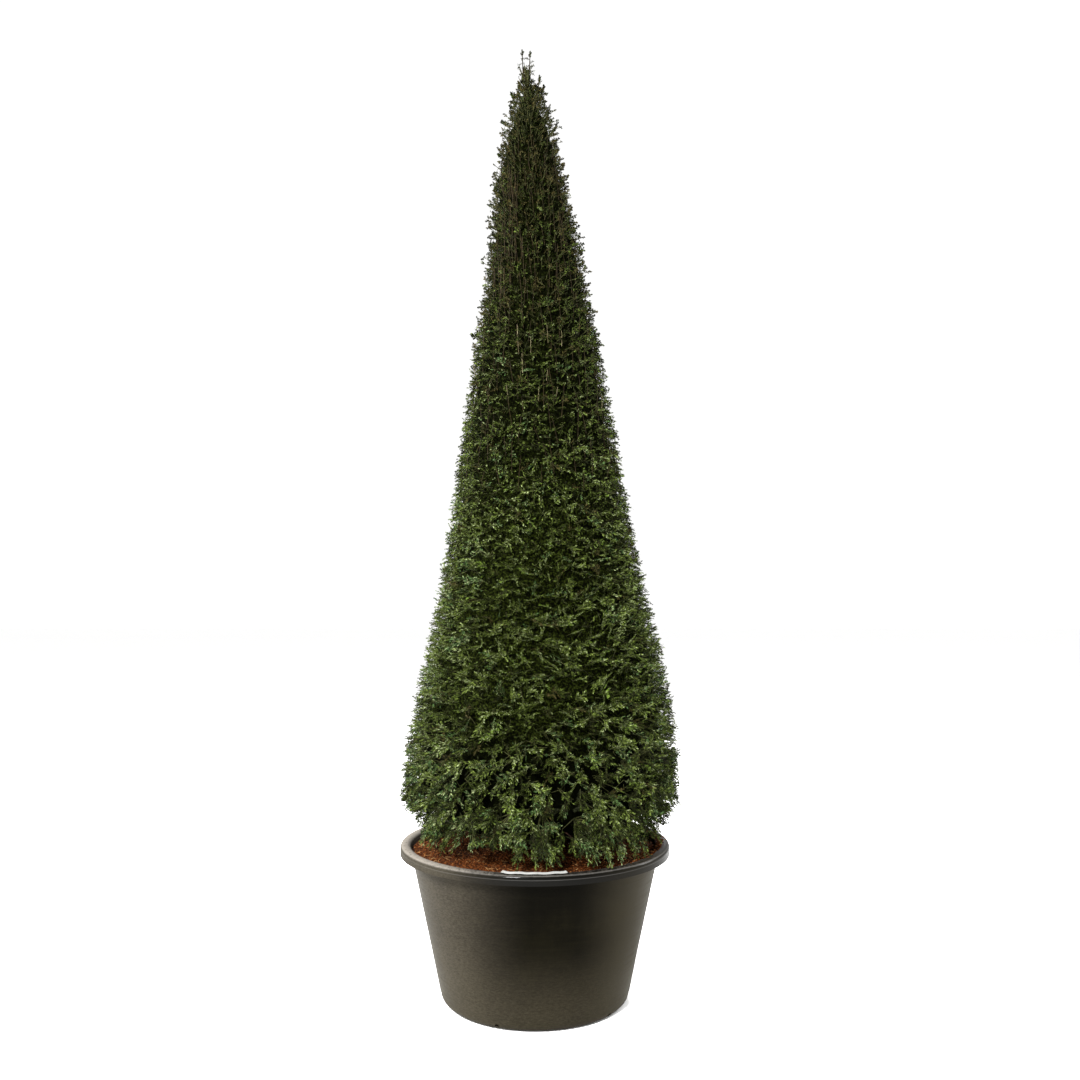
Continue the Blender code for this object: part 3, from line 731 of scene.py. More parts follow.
trunk_shape = column_shape(72, 150)
for vertex in trunk_shape.verts:
    share = (vertex.co.z + 1.0) / 2.0
    height = TRUNK_FOOT + (TRUNK_TIP - TRUNK_FOOT) * share ** 1.4
    azimuth = math.atan2(vertex.co.x, -vertex.co.y)
    lobe = 0.65 + 0.35 * math.cos(FLARE_LOBES * azimuth + 0.6)
    radius = trunk_radius(height) + FLARE * lobe * math.exp(-(height - TRUNK_FOOT) / FLARE_HEIGHT)
    spot = Vector((math.cos(azimuth) * 4, math.sin(azimuth) * 4, height * 9))
    flute = math.sin(7 * azimuth + 3 * height) * 0.035
    if 0.0 < share < 1.0:
        radius *= 1.0 + 0.06 * field.fractal(spot, 0.8, 2.2, 4) + flute
    vertex.co = axis_point(height) + outward(azimuth) * radius
bark = Finish("yew_bark", (0.10, 0.045, 0.026), 0.85)
plates = bark.noise(30.0, detail=6.0, rough=0.65, stretch=(1.0, 1.0, 0.22))
fresh = bark.mix(bark.step(plates, 0.38, 0.60), (0.045, 0.022, 0.014), (0.150, 0.070, 0.042))
bark.set("Base Color", bark.mix(bark.step(plates, 0.62, 0.74), fresh, (0.26, 0.17, 0.12)))
bark.bump(plates, 0.006, 0.9)
trunk_mesh = mesh_from("trunk_bark", trunk_shape)
piece_from("trunk_bark", trunk_mesh, bark, "yew_bark", "trunk", smooth_deg=60)

# %% [markdown]
# ## One needle, one length of twig
#
# A yew needle is a narrow blade, folded a little along its midrib. A quad turned on its corner,
# stretched and split along the midrib is enough: its outline is the needle's, and the two halves
# catch the light differently. A length of twig is a three-sided tube, and its last length a
# three-sided point. A bough's lengths have five sides.

# %% Needle and twig shapes
NEEDLE_FOLD = 0.22  # rise of the edges over the midrib, in widths
NEEDLE_WIDEST = 0.44


def needle_arrays():
    """A needle of length 1 along +X and width 1 along Y, with its edges lifted along Z."""
    shape = bmesh.new()
    bmesh.ops.create_grid(shape, x_segments=1, y_segments=1, size=0.5)
    turn = Matrix.Rotation(math.radians(45), 3, "Z")
    bmesh.ops.rotate(shape, verts=shape.verts, cent=(0, 0, 0), matrix=turn)
    bmesh.ops.scale(shape, verts=shape.verts, vec=(math.sqrt(0.5), math.sqrt(0.5), 1.0))
    ends = [vertex for vertex in shape.verts if abs(vertex.co.y) < 0.1]
    for vertex in shape.verts:
        if vertex in ends:
            vertex.co.x += 0.5
        else:
            vertex.co = Vector((NEEDLE_WIDEST, vertex.co.y, NEEDLE_FOLD))
    bmesh.ops.connect_verts(shape, verts=ends)
    return arrays_of(shape)


def limb_arrays(sides, tip_radius):
    """A tube of length 1 along +Z and radius 1 at its foot, or a point where its tip is 0."""
    shape = bmesh.new()
    bmesh.ops.create_cone(
        shape, cap_ends=False, segments=sides, radius1=1.0, radius2=tip_radius, depth=1.0,
        matrix=Matrix.Translation((0, 0, 0.5)),
    )
    bmesh.ops.remove_doubles(shape, verts=shape.verts, dist=1e-5)
    return arrays_of(shape)


NEEDLE_POINTS, NEEDLE_TRIANGLES = needle_arrays()
NEEDLE_TIP = int(NEEDLE_POINTS[:, 0].argmax())
TUBE = limb_arrays(3, 1.0)
POINT = limb_arrays(3, 0.0)
LIMB = limb_arrays(5, 1.0)
print("a needle, a tube and a point have", len(NEEDLE_TRIANGLES), len(TUBE[1]), len(POINT[1]))

# %% [markdown]
# ## A spray, by a seeded rule
#
# A shoot runs forward and bends a little, needles leave it at a regular pitch, and a few side
# shoots leave it alternately and do the same. On shaded flat sprays the needles lie in two ranks,
# and on upright shoots they stand all round. Each kind of spray is grown a few times from its own
# seeds, and the crown is then dressed with copies, so the work per copy is one matrix.

# %% Sprays
NEEDLE_SCATTER_DEG = 11
BRANCH_SCATTER_DEG = 12
SHOOT_TINT = 0.20  # the share of needles that take the tint of their shoot
LIMB_LAP = 1.03  # how far one length of twig runs into the next
ORIGIN, FORWARD, SKYWARD = Vector((0, 0, 0)), Vector((1, 0, 0)), Vector((0, 0, 1))


class Spray:
    """The needles and twigs of one spray, grown from the origin along +X with +Z up."""

    def __init__(self, kind, seed):
        self.kind = kind
        self.dice = random.Random(seed)
        self.needles, self.ends, self.luck, self.tubes, self.points = [], [], [], [], []
        self.grow(ORIGIN, FORWARD, SKYWARD, kind["length"], 0)
        self.needles, self.ends, self.luck, self.points = map(
            np.array, (self.needles, self.ends, self.luck, self.points)
        )
        self.tubes = np.reshape(self.tubes, (-1, *TUBE[0].shape))

    def within(self, degrees):
        """A random angle, in radians, up to a number of degrees to either side."""
        return math.radians(self.dice.uniform(-1, 1) * degrees)

    def grow(self, start, way, upward, length, order):
        """Grows one shoot, its needles and its side shoots."""
        kind, dice = self.kind, self.dice
        steps = kind["steps"] if order == 0 else 1
        stride = length / steps
        side = dice.choice((-1, 1))
        tint = dice.random()
        radius = kind["twig"] * (1.0, 0.6)[order]
        needle_due = (kind["bare"] if order == 0 else 0.08) * length
        shoot_due = kind["first_shoot"] * length
        point = start.copy()
        own = 0  # needles whose shoot hasn't ended yet
        for step in range(steps):
            if step:
                across = way.cross(upward).normalized()
                bend = math.radians(kind["bend"] + dice.uniform(-1, 1) * kind["wander"])
                way = (Matrix.Rotation(bend, 3, across) @ way).normalized()
                way = (Matrix.Rotation(self.within(kind["wander"]), 3, upward) @ way).normalized()
            across = way.cross(upward).normalized()
            up = across.cross(way)
            travelled = step * stride
            end = point + way * stride
            self.add_limb(point, end, radius * (1.0 - 0.25 * step), step == steps - 1)
            while needle_due < travelled + stride:
                base = point + way * (needle_due - travelled)
                self.add_needle(base, way, across, up, needle_due / length, side, tint)
                own += 1
                side = -side
                needle_due += kind["pitch"] * dice.uniform(0.7, 1.3)
            while order == 0 and shoot_due < min(travelled + stride, 0.90 * length):
                self.ends += [end] * own
                own = 0
                base = point + way * (shoot_due - travelled)
                self.add_side_shoot(base, way, up, shoot_due / length, side)
                side = -side
                shoot_due += kind["shoot_pitch"] * dice.uniform(0.75, 1.25)
            point = end
        for turn in (-0.4, 0.4):
            self.add_needle(point - way * 0.002, way, across, up, 1.0, turn, tint)
            own += 1
        self.ends += [point] * own

    def add_side_shoot(self, base, way, up, share, side):
        kind, dice = self.kind, self.dice
        scatter = dice.uniform(-BRANCH_SCATTER_DEG, BRANCH_SCATTER_DEG)
        angle = math.radians(kind["shoot_angle"] + scatter) * side
        branch = Matrix.Rotation(angle, 3, up) @ way
        branch = Matrix.Rotation(self.within(kind["spread"]), 3, way) @ branch
        size = kind["shoot_length"] * (1.0 - 0.55 * share) * dice.uniform(0.65, 1.2)
        self.grow(base, branch.normalized(), up, size, 1)

    def add_limb(self, start, end, radius, last):
        turn = (end - start).to_track_quat("Z", "Y").to_matrix()
        size = Matrix.Diagonal((radius, radius, (end - start).length * LIMB_LAP))
        shape, made = (POINT, self.points) if last else (TUBE, self.tubes)
        made.append(shape[0] @ np.array(turn @ size).T + np.array(start))

    def add_needle(self, base, way, across, up, share, side, tint):
        kind, dice = self.kind, self.dice
        scatter = dice.uniform(-NEEDLE_SCATTER_DEG, NEEDLE_SCATTER_DEG)
        swing = math.radians(kind["swing"] * (1.0 - 0.50 * share) + scatter) * side
        direction = way * math.cos(swing) + across * math.sin(swing)
        if kind["round"]:
            around = Matrix.Rotation(dice.uniform(0, math.tau), 3, way)
            direction, up = around @ direction, around @ up
        lift = math.radians(kind["lift"] + dice.uniform(-1, 1) * kind["ruffle"])
        direction = (direction + up * math.sin(lift)).normalized()
        fullness = 0.76 + 0.34 * math.sin(math.pi * min(share + 0.15, 1.0))
        length = kind["needle"] * fullness * dice.uniform(0.8, 1.2)
        sideways = direction.cross(up).normalized()
        sideways = Matrix.Rotation(self.within(kind["twist"]), 3, direction) @ sideways
        face = sideways.cross(direction)
        width = kind["width"] * dice.uniform(0.8, 1.2)
        matrix = np.array(Matrix((direction * length, sideways * width, face * width)))
        self.needles.append(NEEDLE_POINTS @ matrix + np.array(base))
        self.luck.append(tint if dice.random() < SHOOT_TINT else dice.random())


print("needles scatter by", NEEDLE_SCATTER_DEG, "degrees")

# %% Kinds of spray
KIND_NAMES = ("plume", "tuft", "candle", "tassel", "finger", "bud")
TRAITS = {  # a value for each kind, in metres, degrees or shares
    "length": (0.062, 0.044, 0.038, 0.110, 0.030, 0.013),
    "steps": (2, 1, 1, 2, 1, 1),  # lengths of twig in the main shoot
    "twig": (0.0012, 0.0011, 0.0012, 0.0013, 0.0012, 0.0014),  # its radius
    "bare": (0.08, 0.08, 0.08, 0.08, 0.10, 0.10),  # the share of it without needles
    "first_shoot": (0.12, 0.14, 0.14, 0.14, 2.0, 2.0),  # over 1, it has no side shoots
    "wander": (9, 12, 10, 9, 10, 10),
    "bend": (-4, 2, 4, -4, 0, 0),
    "shoot_angle": (34, 36, 40, 26, 40, 40),
    "spread": (36, 80, 85, 80, 80, 80),  # how far side shoots turn round it
    "shoot_length": (0.042, 0.028, 0.020, 0.050, 0.010, 0.010),
    "shoot_pitch": (0.0112, 0.0092, 0.0088, 0.0160, 0.0100, 0.0100),
    "pitch": (0.0030, 0.0026, 0.0020, 0.0028, 0.0019, 0.0008),  # from needle to needle
    "needle": (0.0140, 0.0106, 0.0088, 0.0145, 0.0094, 0.0060),
    "width": (0.0029, 0.0029, 0.0028, 0.0024, 0.0032, 0.0030),
    "swing": (35, 30, 32, 30, 30, 64),  # from the shoot to a needle
    "lift": (6, 4, 4, 4, 4, 4),
    "ruffle": (20, 22, 22, 18, 20, 24),
    "twist": (45, 60, 60, 45, 60, 60),
    "round": (False, True, True, True, True, True),  # needles all round, not in two ranks
}
FIRST_SEEDS = (100, 200, 300, 400, 550, 500)
SPRAYS_OF_A_KIND = 12
KINDS = {}
for number, name in enumerate(KIND_NAMES):
    kind = {trait: values[number] for trait, values in TRAITS.items()}
    sprays = [Spray(kind, FIRST_SEEDS[number] + index) for index in range(SPRAYS_OF_A_KIND)]
    KINDS[name] = sprays
    print(name, "needles", [len(spray.needles) for spray in sprays])

# %% [markdown]
# ## The rule of the crown
#
# Each mass of the source is a sector of a tier with one stem from the trunk. The rule spreads its
# sites evenly over the clipped face with two irrational steps and stands a spray at each. Here
# the source's own sites become boughs, and the rule runs on from the same start to many more
# sites. Each of those gets a twig from the nearest bough and a small spray at its end: most end
# on the clipped face, the rest behind it. Shears cut what sticks out, so needles beyond the face
# are dropped.

# %% Tiers and sites
TIERS = (  # name, foot, head, sectors, turn in degrees, boughs, kind, sprays in a mass
    ("skirt", 0.640, 0.860, 6, 0.0, 12, "plume", 124),
    ("low", 0.860, 1.260, 5, 20.0, 14, "plume", 228),
    ("middle", 1.260, 1.720, 5, 56.0, 14, "plume", 250),
    ("high", 1.720, 2.220, 4, 10.0, 15, "tuft", 385),
    ("top", 2.220, 2.760, 3, 40.0, 15, "tuft", 430),
    ("neck", 2.760, 3.250, 3, 100.0, 13, "candle", 330),
)
SPRAY_SIZE = (
    (0.70, 1.10), (1.30, 1.00), (1.71, 0.86), (1.73, 1.14), (2.40, 1.02), (2.75, 1.00),
    (2.77, 1.05), (3.20, 0.88),
)
SHOOT_PITCH_DEG = (
    (0.66, -50), (0.80, -26), (0.95, -12), (1.15, 4), (1.45, 10), (1.75, 0), (2.10, -10),
    (2.40, -4), (2.75, 6), (3.10, 14), (3.60, 50),
)
STEM_RISE_DEG = ((0.70, 4), (1.10, 18), (2.20, 38), (3.00, 52))
SHEAR_LINE = (0.006, 0.028)  # how far a spray's needles may stand out of the clipped face
HEM = (  # azimuth in degrees, height of the lowest needles there
    (-180, 0.650), (-125, 0.690), (-95, 0.700), (-74, 0.735), (-62, 0.650), (-48, 0.632),
    (-38, 0.672), (-14, 0.662), (-9, 0.606), (8, 0.606), (12, 0.680), (17, 0.612), (44, 0.606),
    (56, 0.640), (70, 0.690), (88, 0.715), (130, 0.660), (180, 0.650),
)
HOLLOWS = (  # azimuth in degrees, height, half width in degrees, half height of a dark hollow
    (11, 0.745, 4.0, 0.085), (-36, 0.690, 8, 0.035), (-3, 0.905, 3, 0.020), (28, 1.020, 4, 0.030),
    (-20, 0.840, 5, 0.028), (14, 1.240, 4, 0.040), (-100, 0.800, 6, 0.060), (150, 0.760, 6, 0.080),
    (95, 0.960, 5, 0.050), (-160, 1.080, 5, 0.045),
)
SITE_STEPS = (0.7548776662, 0.5698402910)
RAGGED_FROM, RAGGED_DEPTH = 2.7, 0.030  # the height above which the face is uneven, and by how much


def site(index):
    """The shares of the turn and of the height at which the rule's next spray stands."""
    return tuple((0.5 + index * step) % 1.0 for step in SITE_STEPS)


def crown_point(azimuth, height, inset):
    """The point inset behind the clipped face, on the tier line that meets it at a height."""
    radius = at(CLIPPED_RADIUS, height) - inset
    drop = inset * math.tan(math.radians(at(TIER_PITCH_DEG, height)))
    return axis_point(height - drop) + outward(azimuth) * radius


def ragged(azimuth, height):
    """How far the shears left the upper crown uneven: notches are positive, tufts negative."""
    spot = Vector((3.5 * math.sin(azimuth), 3.5 * math.cos(azimuth), 15 * height))
    return RAGGED_DEPTH * field.noise(spot) * min(1.0, max(0.0, (height - RAGGED_FROM) / 0.5))


def signed_degrees(azimuth):
    return (math.degrees(azimuth) + 180.0) % 360.0 - 180.0


def in_hollow(azimuth, height):
    degrees = signed_degrees(azimuth)
    return any(
        ((degrees - turn) / half_turn) ** 2 + ((height - level) / half_height) ** 2 < 1.0
        for turn, level, half_turn, half_height in HOLLOWS
    )


def stand_out(points):
    """How far points lie outside the clipped face, and their heights above the soil or rim."""
    across = points[..., 0] - between(CROWN_AXIS, points[..., 2])
    out = np.hypot(across, points[..., 1]) - between(CLIPPED_RADIUS, points[..., 2])
    over_rim = np.hypot(points[..., 0], points[..., 1]) > wall_radius(SOIL_EDGE, SHEET) - 0.012
    return out, points[..., 2] - np.where(over_rim, TUB_HEIGHT + 0.004, SOIL_LEVEL + 0.008)


print("hem at the front", at(HEM, 0.0), "first sites", site(0), site(1))

# %% Tones
# Over height the weights paint light and shade into the crown: the light tones peak at 1.0 to 1.4
# m, deep and shade rise at the skirt's foot as painted shade, and near the top the dark tones are
# partly painted shade and partly the bronze of older needles.
TONE_HEIGHTS = (0.7, 1.0, 1.4, 1.85, 2.2, 2.6, 3.2)
TONE_WEIGHTS = {  # each tone's weight at those heights
    "deep": (3.4, 1.1, 0.4, 0.5, 1.3, 2.2, 5.0),
    "shade": (3.2, 2.4, 1.6, 3.5, 5.4, 4.6, 2.2),
    "leaf": (2.1, 4.0, 5.6, 3.5, 1.9, 1.3, 0.05),
    "cool": (0.9, 0.9, 0.7, 0.6, 0.5, 0.2, 0.0),
    "fresh": (0.2, 0.6, 1.1, 0.5, 0.10, 0.03, 0.0),
    "pale": (0.10, 0.2, 0.35, 0.10, 0.0, 0.0, 0.0),
    "bronze": (0.4, 0.3, 0.25, 0.25, 0.4, 1.5, 5.4),
}
TONES = tuple(TONE_WEIGHTS)
# On leaf, cool and fresh sprays the lighter needles are pale: painted glints.
COMPANIONS = {  # the tones of a spray's lighter and darker needles
    "deep": ("shade", "deep"), "shade": ("leaf", "deep"), "leaf": ("pale", "shade"),
    "cool": ("pale", "deep"), "fresh": ("pale", "shade"), "pale": ("fresh", "shade"),
    "bronze": ("bronze", "deep"),
}
LIGHTER, DARKER = 0.20, 0.35  # the shares of such needles
COOL_LIGHT_LEFT, COOL_PATCH = 1.8, 2.5  # extra weight of the cool tone low on the left and in patches
BEHIND = 0.022  # the inset from which a spray counts as behind the face


def tone_for(dice, azimuth, height, inset):
    """Deals a spray its tone: painted shade behind the face, cool low down (on the left a painted
    cool light) and bronzed near the top.
    """
    low = 1.0 - min(1.0, max(0.0, (height - 0.7) / 1.5))
    # Sprays behind the face get dark tones: painted shade.
    if inset > BEHIND:
        weights = (5 - 3 * low, 3 + 2 * low, 2.5 * low, 0.5 - 0.5 * low)
        return dice.choices(("deep", "shade", "leaf", "bronze"), weights)[0]
    weights = [float(np.interp(height, TONE_HEIGHTS, row)) for row in TONE_WEIGHTS.values()]
    patch = field.noise(Vector((4 * math.sin(azimuth), 4 * math.cos(azimuth), 5 * height)))
    # Low on the left the cool tone is painted cool light from that side; its patches are the
    # plant's own tone.
    cool = COOL_LIGHT_LEFT * low * max(0.0, -math.sin(azimuth))
    weights[TONES.index("cool")] += cool + COOL_PATCH * max(0.0, patch) * (0.3 + low)
    return dice.choices(TONES, weights)[0]


tally = [tone_for(random.Random(index), 0.0, 1.5, 0.0) for index in range(400)]
print("tones at 1.5 m", {tone: tally.count(tone) for tone in TONES})

# %% [markdown]
# ## Growing the masses
#
# A copy of a spray is its arrays times one matrix. The matrix carries the spray's own +X to the
# direction that the rule gives for the height: hanging at the skirt, level in the middle and almost
# upright near the top, with a scatter that keeps the face from looking combed.

# %% Laying sprays
needle_batches = {tone: [] for tone in TONES}
tube_batches, point_batches = [], []
limbs, twigs, knob_stems = [], [], []  # each a start, bend, end, first radius and last radius
pale_shoots, brown_shoots = [], []


def bowed(start, end, sag, first_radius, last_radius):
    """A limb between two points whose middle hangs by a sag."""
    return start, start.lerp(end, 0.5) - Vector((0, 0, sag)), end, first_radius, last_radius


def spray_matrix(direction, roll, scale):
    """The turn that carries +X to a direction, with the spray's top up, then rolled."""
    across = SKYWARD.cross(direction)
    across = across.normalized() if across.length > 0.1 else Vector((0, 1, 0))
    across = Matrix.Rotation(roll, 3, direction) @ across
    return np.array(Matrix((direction, across, direction.cross(across))).transposed()) * scale


def lay_spray(spray, matrix, root, tone, shear, hem=0.0):
    """Copies a spray into place and drops what the shears or the ground would take."""
    root = np.array(root)
    needles = spray.needles @ matrix.T + root
    out, over = stand_out(needles[:, NEEDLE_TIP])
    shoot_out, _ = stand_out(spray.ends @ matrix.T + root)
    kept = (shoot_out < shear - 0.008) & (out < shear + 0.010)
    kept &= (over > 0.0) & (needles[:, NEEDLE_TIP, 2] > hem)
    light, dark = spray.luck < LIGHTER, spray.luck > 1.0 - DARKER
    for share, its_tone in zip((~light & ~dark, light, dark), (tone, *COMPANIONS[tone])):
        needle_batches[its_tone].append(needles[kept & share])
    for shapes, batches in ((spray.tubes, tube_batches), (spray.points, point_batches)):
        placed = shapes @ matrix.T + root
        out, over = stand_out(placed.mean(axis=1))
        above = (over > 0.004) & (placed[:, :, 2].min(axis=1) > hem)
        batches.append(placed[(out < shear - 0.008) & above])


def lay_to_tip(spray, tip, direction, roll, scale, tone, shear, hem=0.0):
    """Lays a spray so that it ends at a tip, and returns its root."""
    root = tip - direction * spray.kind["length"] * scale
    lay_spray(spray, spray_matrix(direction, roll, scale), root, tone, shear, hem)
    return root


def direction_at(dice, azimuth, height, yaw_spread, pitch_spread):
    """A spray's direction by the rule, with its scatter."""
    pitch = math.radians(at(SHOOT_PITCH_DEG, height) + dice.gauss(0, pitch_spread))
    return slanted(azimuth + math.radians(dice.gauss(0, yaw_spread)), pitch).normalized()


def needle_count():
    return sum(len(batch) for tone in TONES for batch in needle_batches[tone])


print("upper shoots point to", direction_at(random.Random(1), 0.0, 3.2, 0.0, 0.0)[:])

# %% Growing a mass
BOUGH_RADII = (0.0052, 0.0024)
TWIG_RADII = (0.0026, 0.0014)
SCATTER_DEG = {"plume": (28, 18), "tuft": (30, 20), "candle": (30, 20)}  # yaw and pitch
INSETS = ((-0.028, -0.012), (-0.012, 0.016), (0.016, 0.036))  # proud of the face, on it, behind it
INSET_WEIGHTS = (10, 70, 20)


def stem_of(height, azimuth):
    """The mass's stem, from the trunk to a little behind the face."""
    inset = at(FRINGE, height) + 0.02
    end = crown_point(azimuth, height, inset)
    rise = math.tan(math.radians(at(STEM_RISE_DEG, height)))
    foot_height = end.z - (at(CLIPPED_RADIUS, height) - inset) * rise
    foot_height = max(foot_height, TRUNK_FOOT + 2.5 * FLARE_HEIGHT)
    foot = axis_point(foot_height) + outward(azimuth) * trunk_radius(foot_height) * 0.8
    return foot, end, trunk_radius(foot_height) * 0.34


def grow_mass(tier, sector, seed):
    _, foot, head, sectors, turn, boughs, kind, count = tier
    step = math.tau / sectors
    first = math.radians(turn) + (sector - 0.5) * step
    stem_foot, stem_end, stem_radius = stem_of((foot + head) / 2, first + step / 2)
    limbs.append(bowed(stem_foot, stem_end, 0.01, stem_radius, stem_radius * 0.5))
    leaves_from = []
    for index in range(count):
        dice = random.Random(seed * 1000 + index)
        round_share, up_share = site(index)
        azimuth = first + step * (round_share + dice.uniform(-0.03, 0.03))
        height = foot + (head - foot) * up_share + dice.uniform(-0.022, 0.022)
        if index < boughs:
            end = crown_point(azimuth, height, 0.075 + 0.05 * dice.random())
            leave = stem_foot.lerp(stem_end, dice.uniform(0.30, 0.95))
            limbs.append(bowed(leave, end, 0.015, *BOUGH_RADII))
            leaves_from += [leave.lerp(end, share) for share in (0.4, 0.6, 0.8, 1.0)]
        inset = dice.choices([dice.uniform(*limits) for limits in INSETS], INSET_WEIGHTS)[0]
        if in_hollow(azimuth, height):
            continue
        spray = dice.choice(KINDS[kind])
        scale = dice.uniform(0.85, 1.15) * at(SPRAY_SIZE, height)
        direction = direction_at(dice, azimuth, height, *SCATTER_DEG[kind])
        hem = at(HEM, signed_degrees(azimuth))
        tip = crown_point(azimuth, height, inset)
        tone = tone_for(dice, azimuth, height, inset)
        roll = math.radians(dice.gauss(0, 42))
        root = lay_to_tip(spray, tip, direction, roll, scale, tone, dice.uniform(*SHEAR_LINE), hem)
        if root.z > hem:
            start = min(leaves_from, key=lambda spot: (spot - root).length_squared)
            twigs.append(bowed(start, root, 0.008, *TWIG_RADII))


for tier_number, tier in enumerate(TIERS):
    for sector in range(tier[3]):
        grow_mass(tier, sector, 10 * (tier_number + 1) + sector)
print("needles so far", needle_count())

# %% [markdown]
# ## Tassels
#
# The lowest boughs can't be clipped close, because the rim is in the way. Their shoots hang over
# the soil in thin tassels with needles all round, and at the widest tier longer shoots lean out
# over the rim. The ones at the front have named places, and a seeded rule hangs the other tassels
# round the sides and the back.

# %% Tassels
TASSELS = [  # azimuth in degrees, radius and height of the tip
    (-66, 0.475, 0.636), (-58, 0.470, 0.624), (-49, 0.475, 0.622), (-42, 0.465, 0.640),
    (-32, 0.470, 0.664), (-22, 0.475, 0.676), (-9, 0.490, 0.616), (-1, 0.488, 0.622),
    (3, 0.490, 0.617), (20, 0.488, 0.628), (23, 0.495, 0.624), (29, 0.515, 0.608),
    (36, 0.508, 0.612), (44, 0.500, 0.622), (52, 0.505, 0.618), (63, 0.510, 0.640),
]
OUTRIDERS = (  # the same for the shoots that lean out
    (-97, 0.552, 0.880), (-90, 0.556, 0.845), (-83, 0.552, 0.818), (-76, 0.548, 0.800),
    (-88, 0.548, 0.790), (-68, 0.545, 0.775), (74, 0.548, 0.800), (82, 0.552, 0.830),
    (89, 0.550, 0.792), (94, 0.554, 0.870), (66, 0.548, 0.765), (-140, 0.548, 0.830),
    (150, 0.550, 0.850), (178, 0.548, 0.800), (118, 0.548, 0.815), (-115, 0.550, 0.860),
)
MORE_TASSELS, FROM_DEG, APART_DEG = 19, 77, 12.6
TASSEL_SHOOTS, OUTRIDER_SHOOTS = 7, 5
TASSEL_PITCH_DEG = (-62, 34, 9)  # of the longest shoot, how much less steep the last is, scatter
TASSEL_YAW_DEG, OUTRIDER_YAW_DEG = 26, 3.5
TASSEL_IN, TASSEL_UP = 0.055, 0.115  # how far in and up from the tip the last shoot ends
TASSEL_SPREAD = 0.020
TASSEL_TONES = {"cool": 1.8, "leaf": 2.0, "shade": 4.0, "pale": 0.4}
OUTRIDER_PITCH_DEG = (-34, 4)
OUTRIDER_IN = 0.011  # how much less far out each next shoot ends
OUTRIDER_TONES = {"cool": 1.5, "leaf": 2.0, "shade": 3.0, "deep": 1.0}
LOOSE_SHEAR = 0.09  # no shears reach these
TASSEL_AXIS = CROWN_AXIS[0][1]

for index in range(MORE_TASSELS):
    dice = random.Random(600 + index)
    azimuth = FROM_DEG + index * APART_DEG + dice.uniform(-5, 5)
    TASSELS.append((azimuth, dice.uniform(0.46, 0.51), dice.uniform(0.615, 0.690)))


def hang(dice, tip, direction, scales, tones, anchor_at, sag, radii):
    """Lays a tassel's spray to a tip, with a twig that starts part of the way out from the axis."""
    spray = dice.choice(KINDS["tassel"])
    scale = dice.uniform(*scales)
    tone = dice.choices(tuple(tones), tuple(tones.values()))[0]
    root = lay_to_tip(spray, tip, direction, dice.uniform(0, 6), scale, tone, LOOSE_SHEAR)
    rise, share = anchor_at
    twigs.append(bowed(axis_point(root.z + rise).lerp(root, share), root, sag, *radii))


def grow_tassel(degrees, radius, height, seed):
    """Hangs a bundle of shoots whose longest ends at the tip."""
    dice = random.Random(seed)
    azimuth = math.radians(degrees)
    tip = Vector((TASSEL_AXIS, 0, height)) + outward(azimuth) * radius
    steepest, less, scatter = TASSEL_PITCH_DEG
    for shoot in range(TASSEL_SHOOTS):
        back = shoot / TASSEL_SHOOTS
        pitch = math.radians(steepest + less * back + dice.uniform(-scatter, scatter))
        yaw = math.radians(dice.uniform(-TASSEL_YAW_DEG, TASSEL_YAW_DEG))
        direction = slanted(azimuth + yaw, pitch).normalized()
        end = tip - outward(azimuth) * TASSEL_IN * back + Vector((0, 0, TASSEL_UP * back))
        stray = Vector((dice.uniform(-1, 1), dice.uniform(-1, 1), 0))
        end += stray * TASSEL_SPREAD * (0.4 + back)
        radii = (0.0030, 0.0016)
        hang(dice, end, direction, (0.75, 1.05), TASSEL_TONES, (0.05, 0.72), -0.012, radii)


def grow_outrider(degrees, radius, height, seed):
    """A bundle of longer shoots that leans out over the rim at the widest tier."""
    dice = random.Random(seed)
    for shoot in range(OUTRIDER_SHOOTS):
        yaw = dice.uniform(-OUTRIDER_YAW_DEG, OUTRIDER_YAW_DEG)
        azimuth = math.radians(degrees + yaw)
        pitch = math.radians(dice.uniform(*OUTRIDER_PITCH_DEG))
        direction = slanted(azimuth + dice.uniform(-0.35, 0.35), pitch)
        tip = Vector((TASSEL_AXIS, 0, height + dice.uniform(-0.022, 0.022)))
        tip += outward(azimuth) * (radius - OUTRIDER_IN * shoot)
        radii = (0.0028, 0.0016)
        hang(dice, tip, direction, (0.70, 0.95), OUTRIDER_TONES, (0.03, 0.75), -0.010, radii)


for number, tassel in enumerate(TASSELS):
    grow_tassel(*tassel, 640 + number)
for number, outrider in enumerate(OUTRIDERS):
    grow_outrider(*outrider, 680 + number)
print(len(TASSELS), "tassels and", len(OUTRIDERS), "outriders")

# %% [markdown]
# ## The spire
#
# Above the trunk the crown ends in a bundle of upright shoots. Two thin leaders stand highest,
# each with a tuft of buds at its tip. The shoots round them end on the clipped face, and short
# side shoots stick out level, which gives the outline its teeth. Lower down, single shoots have
# grown a little past the shears.

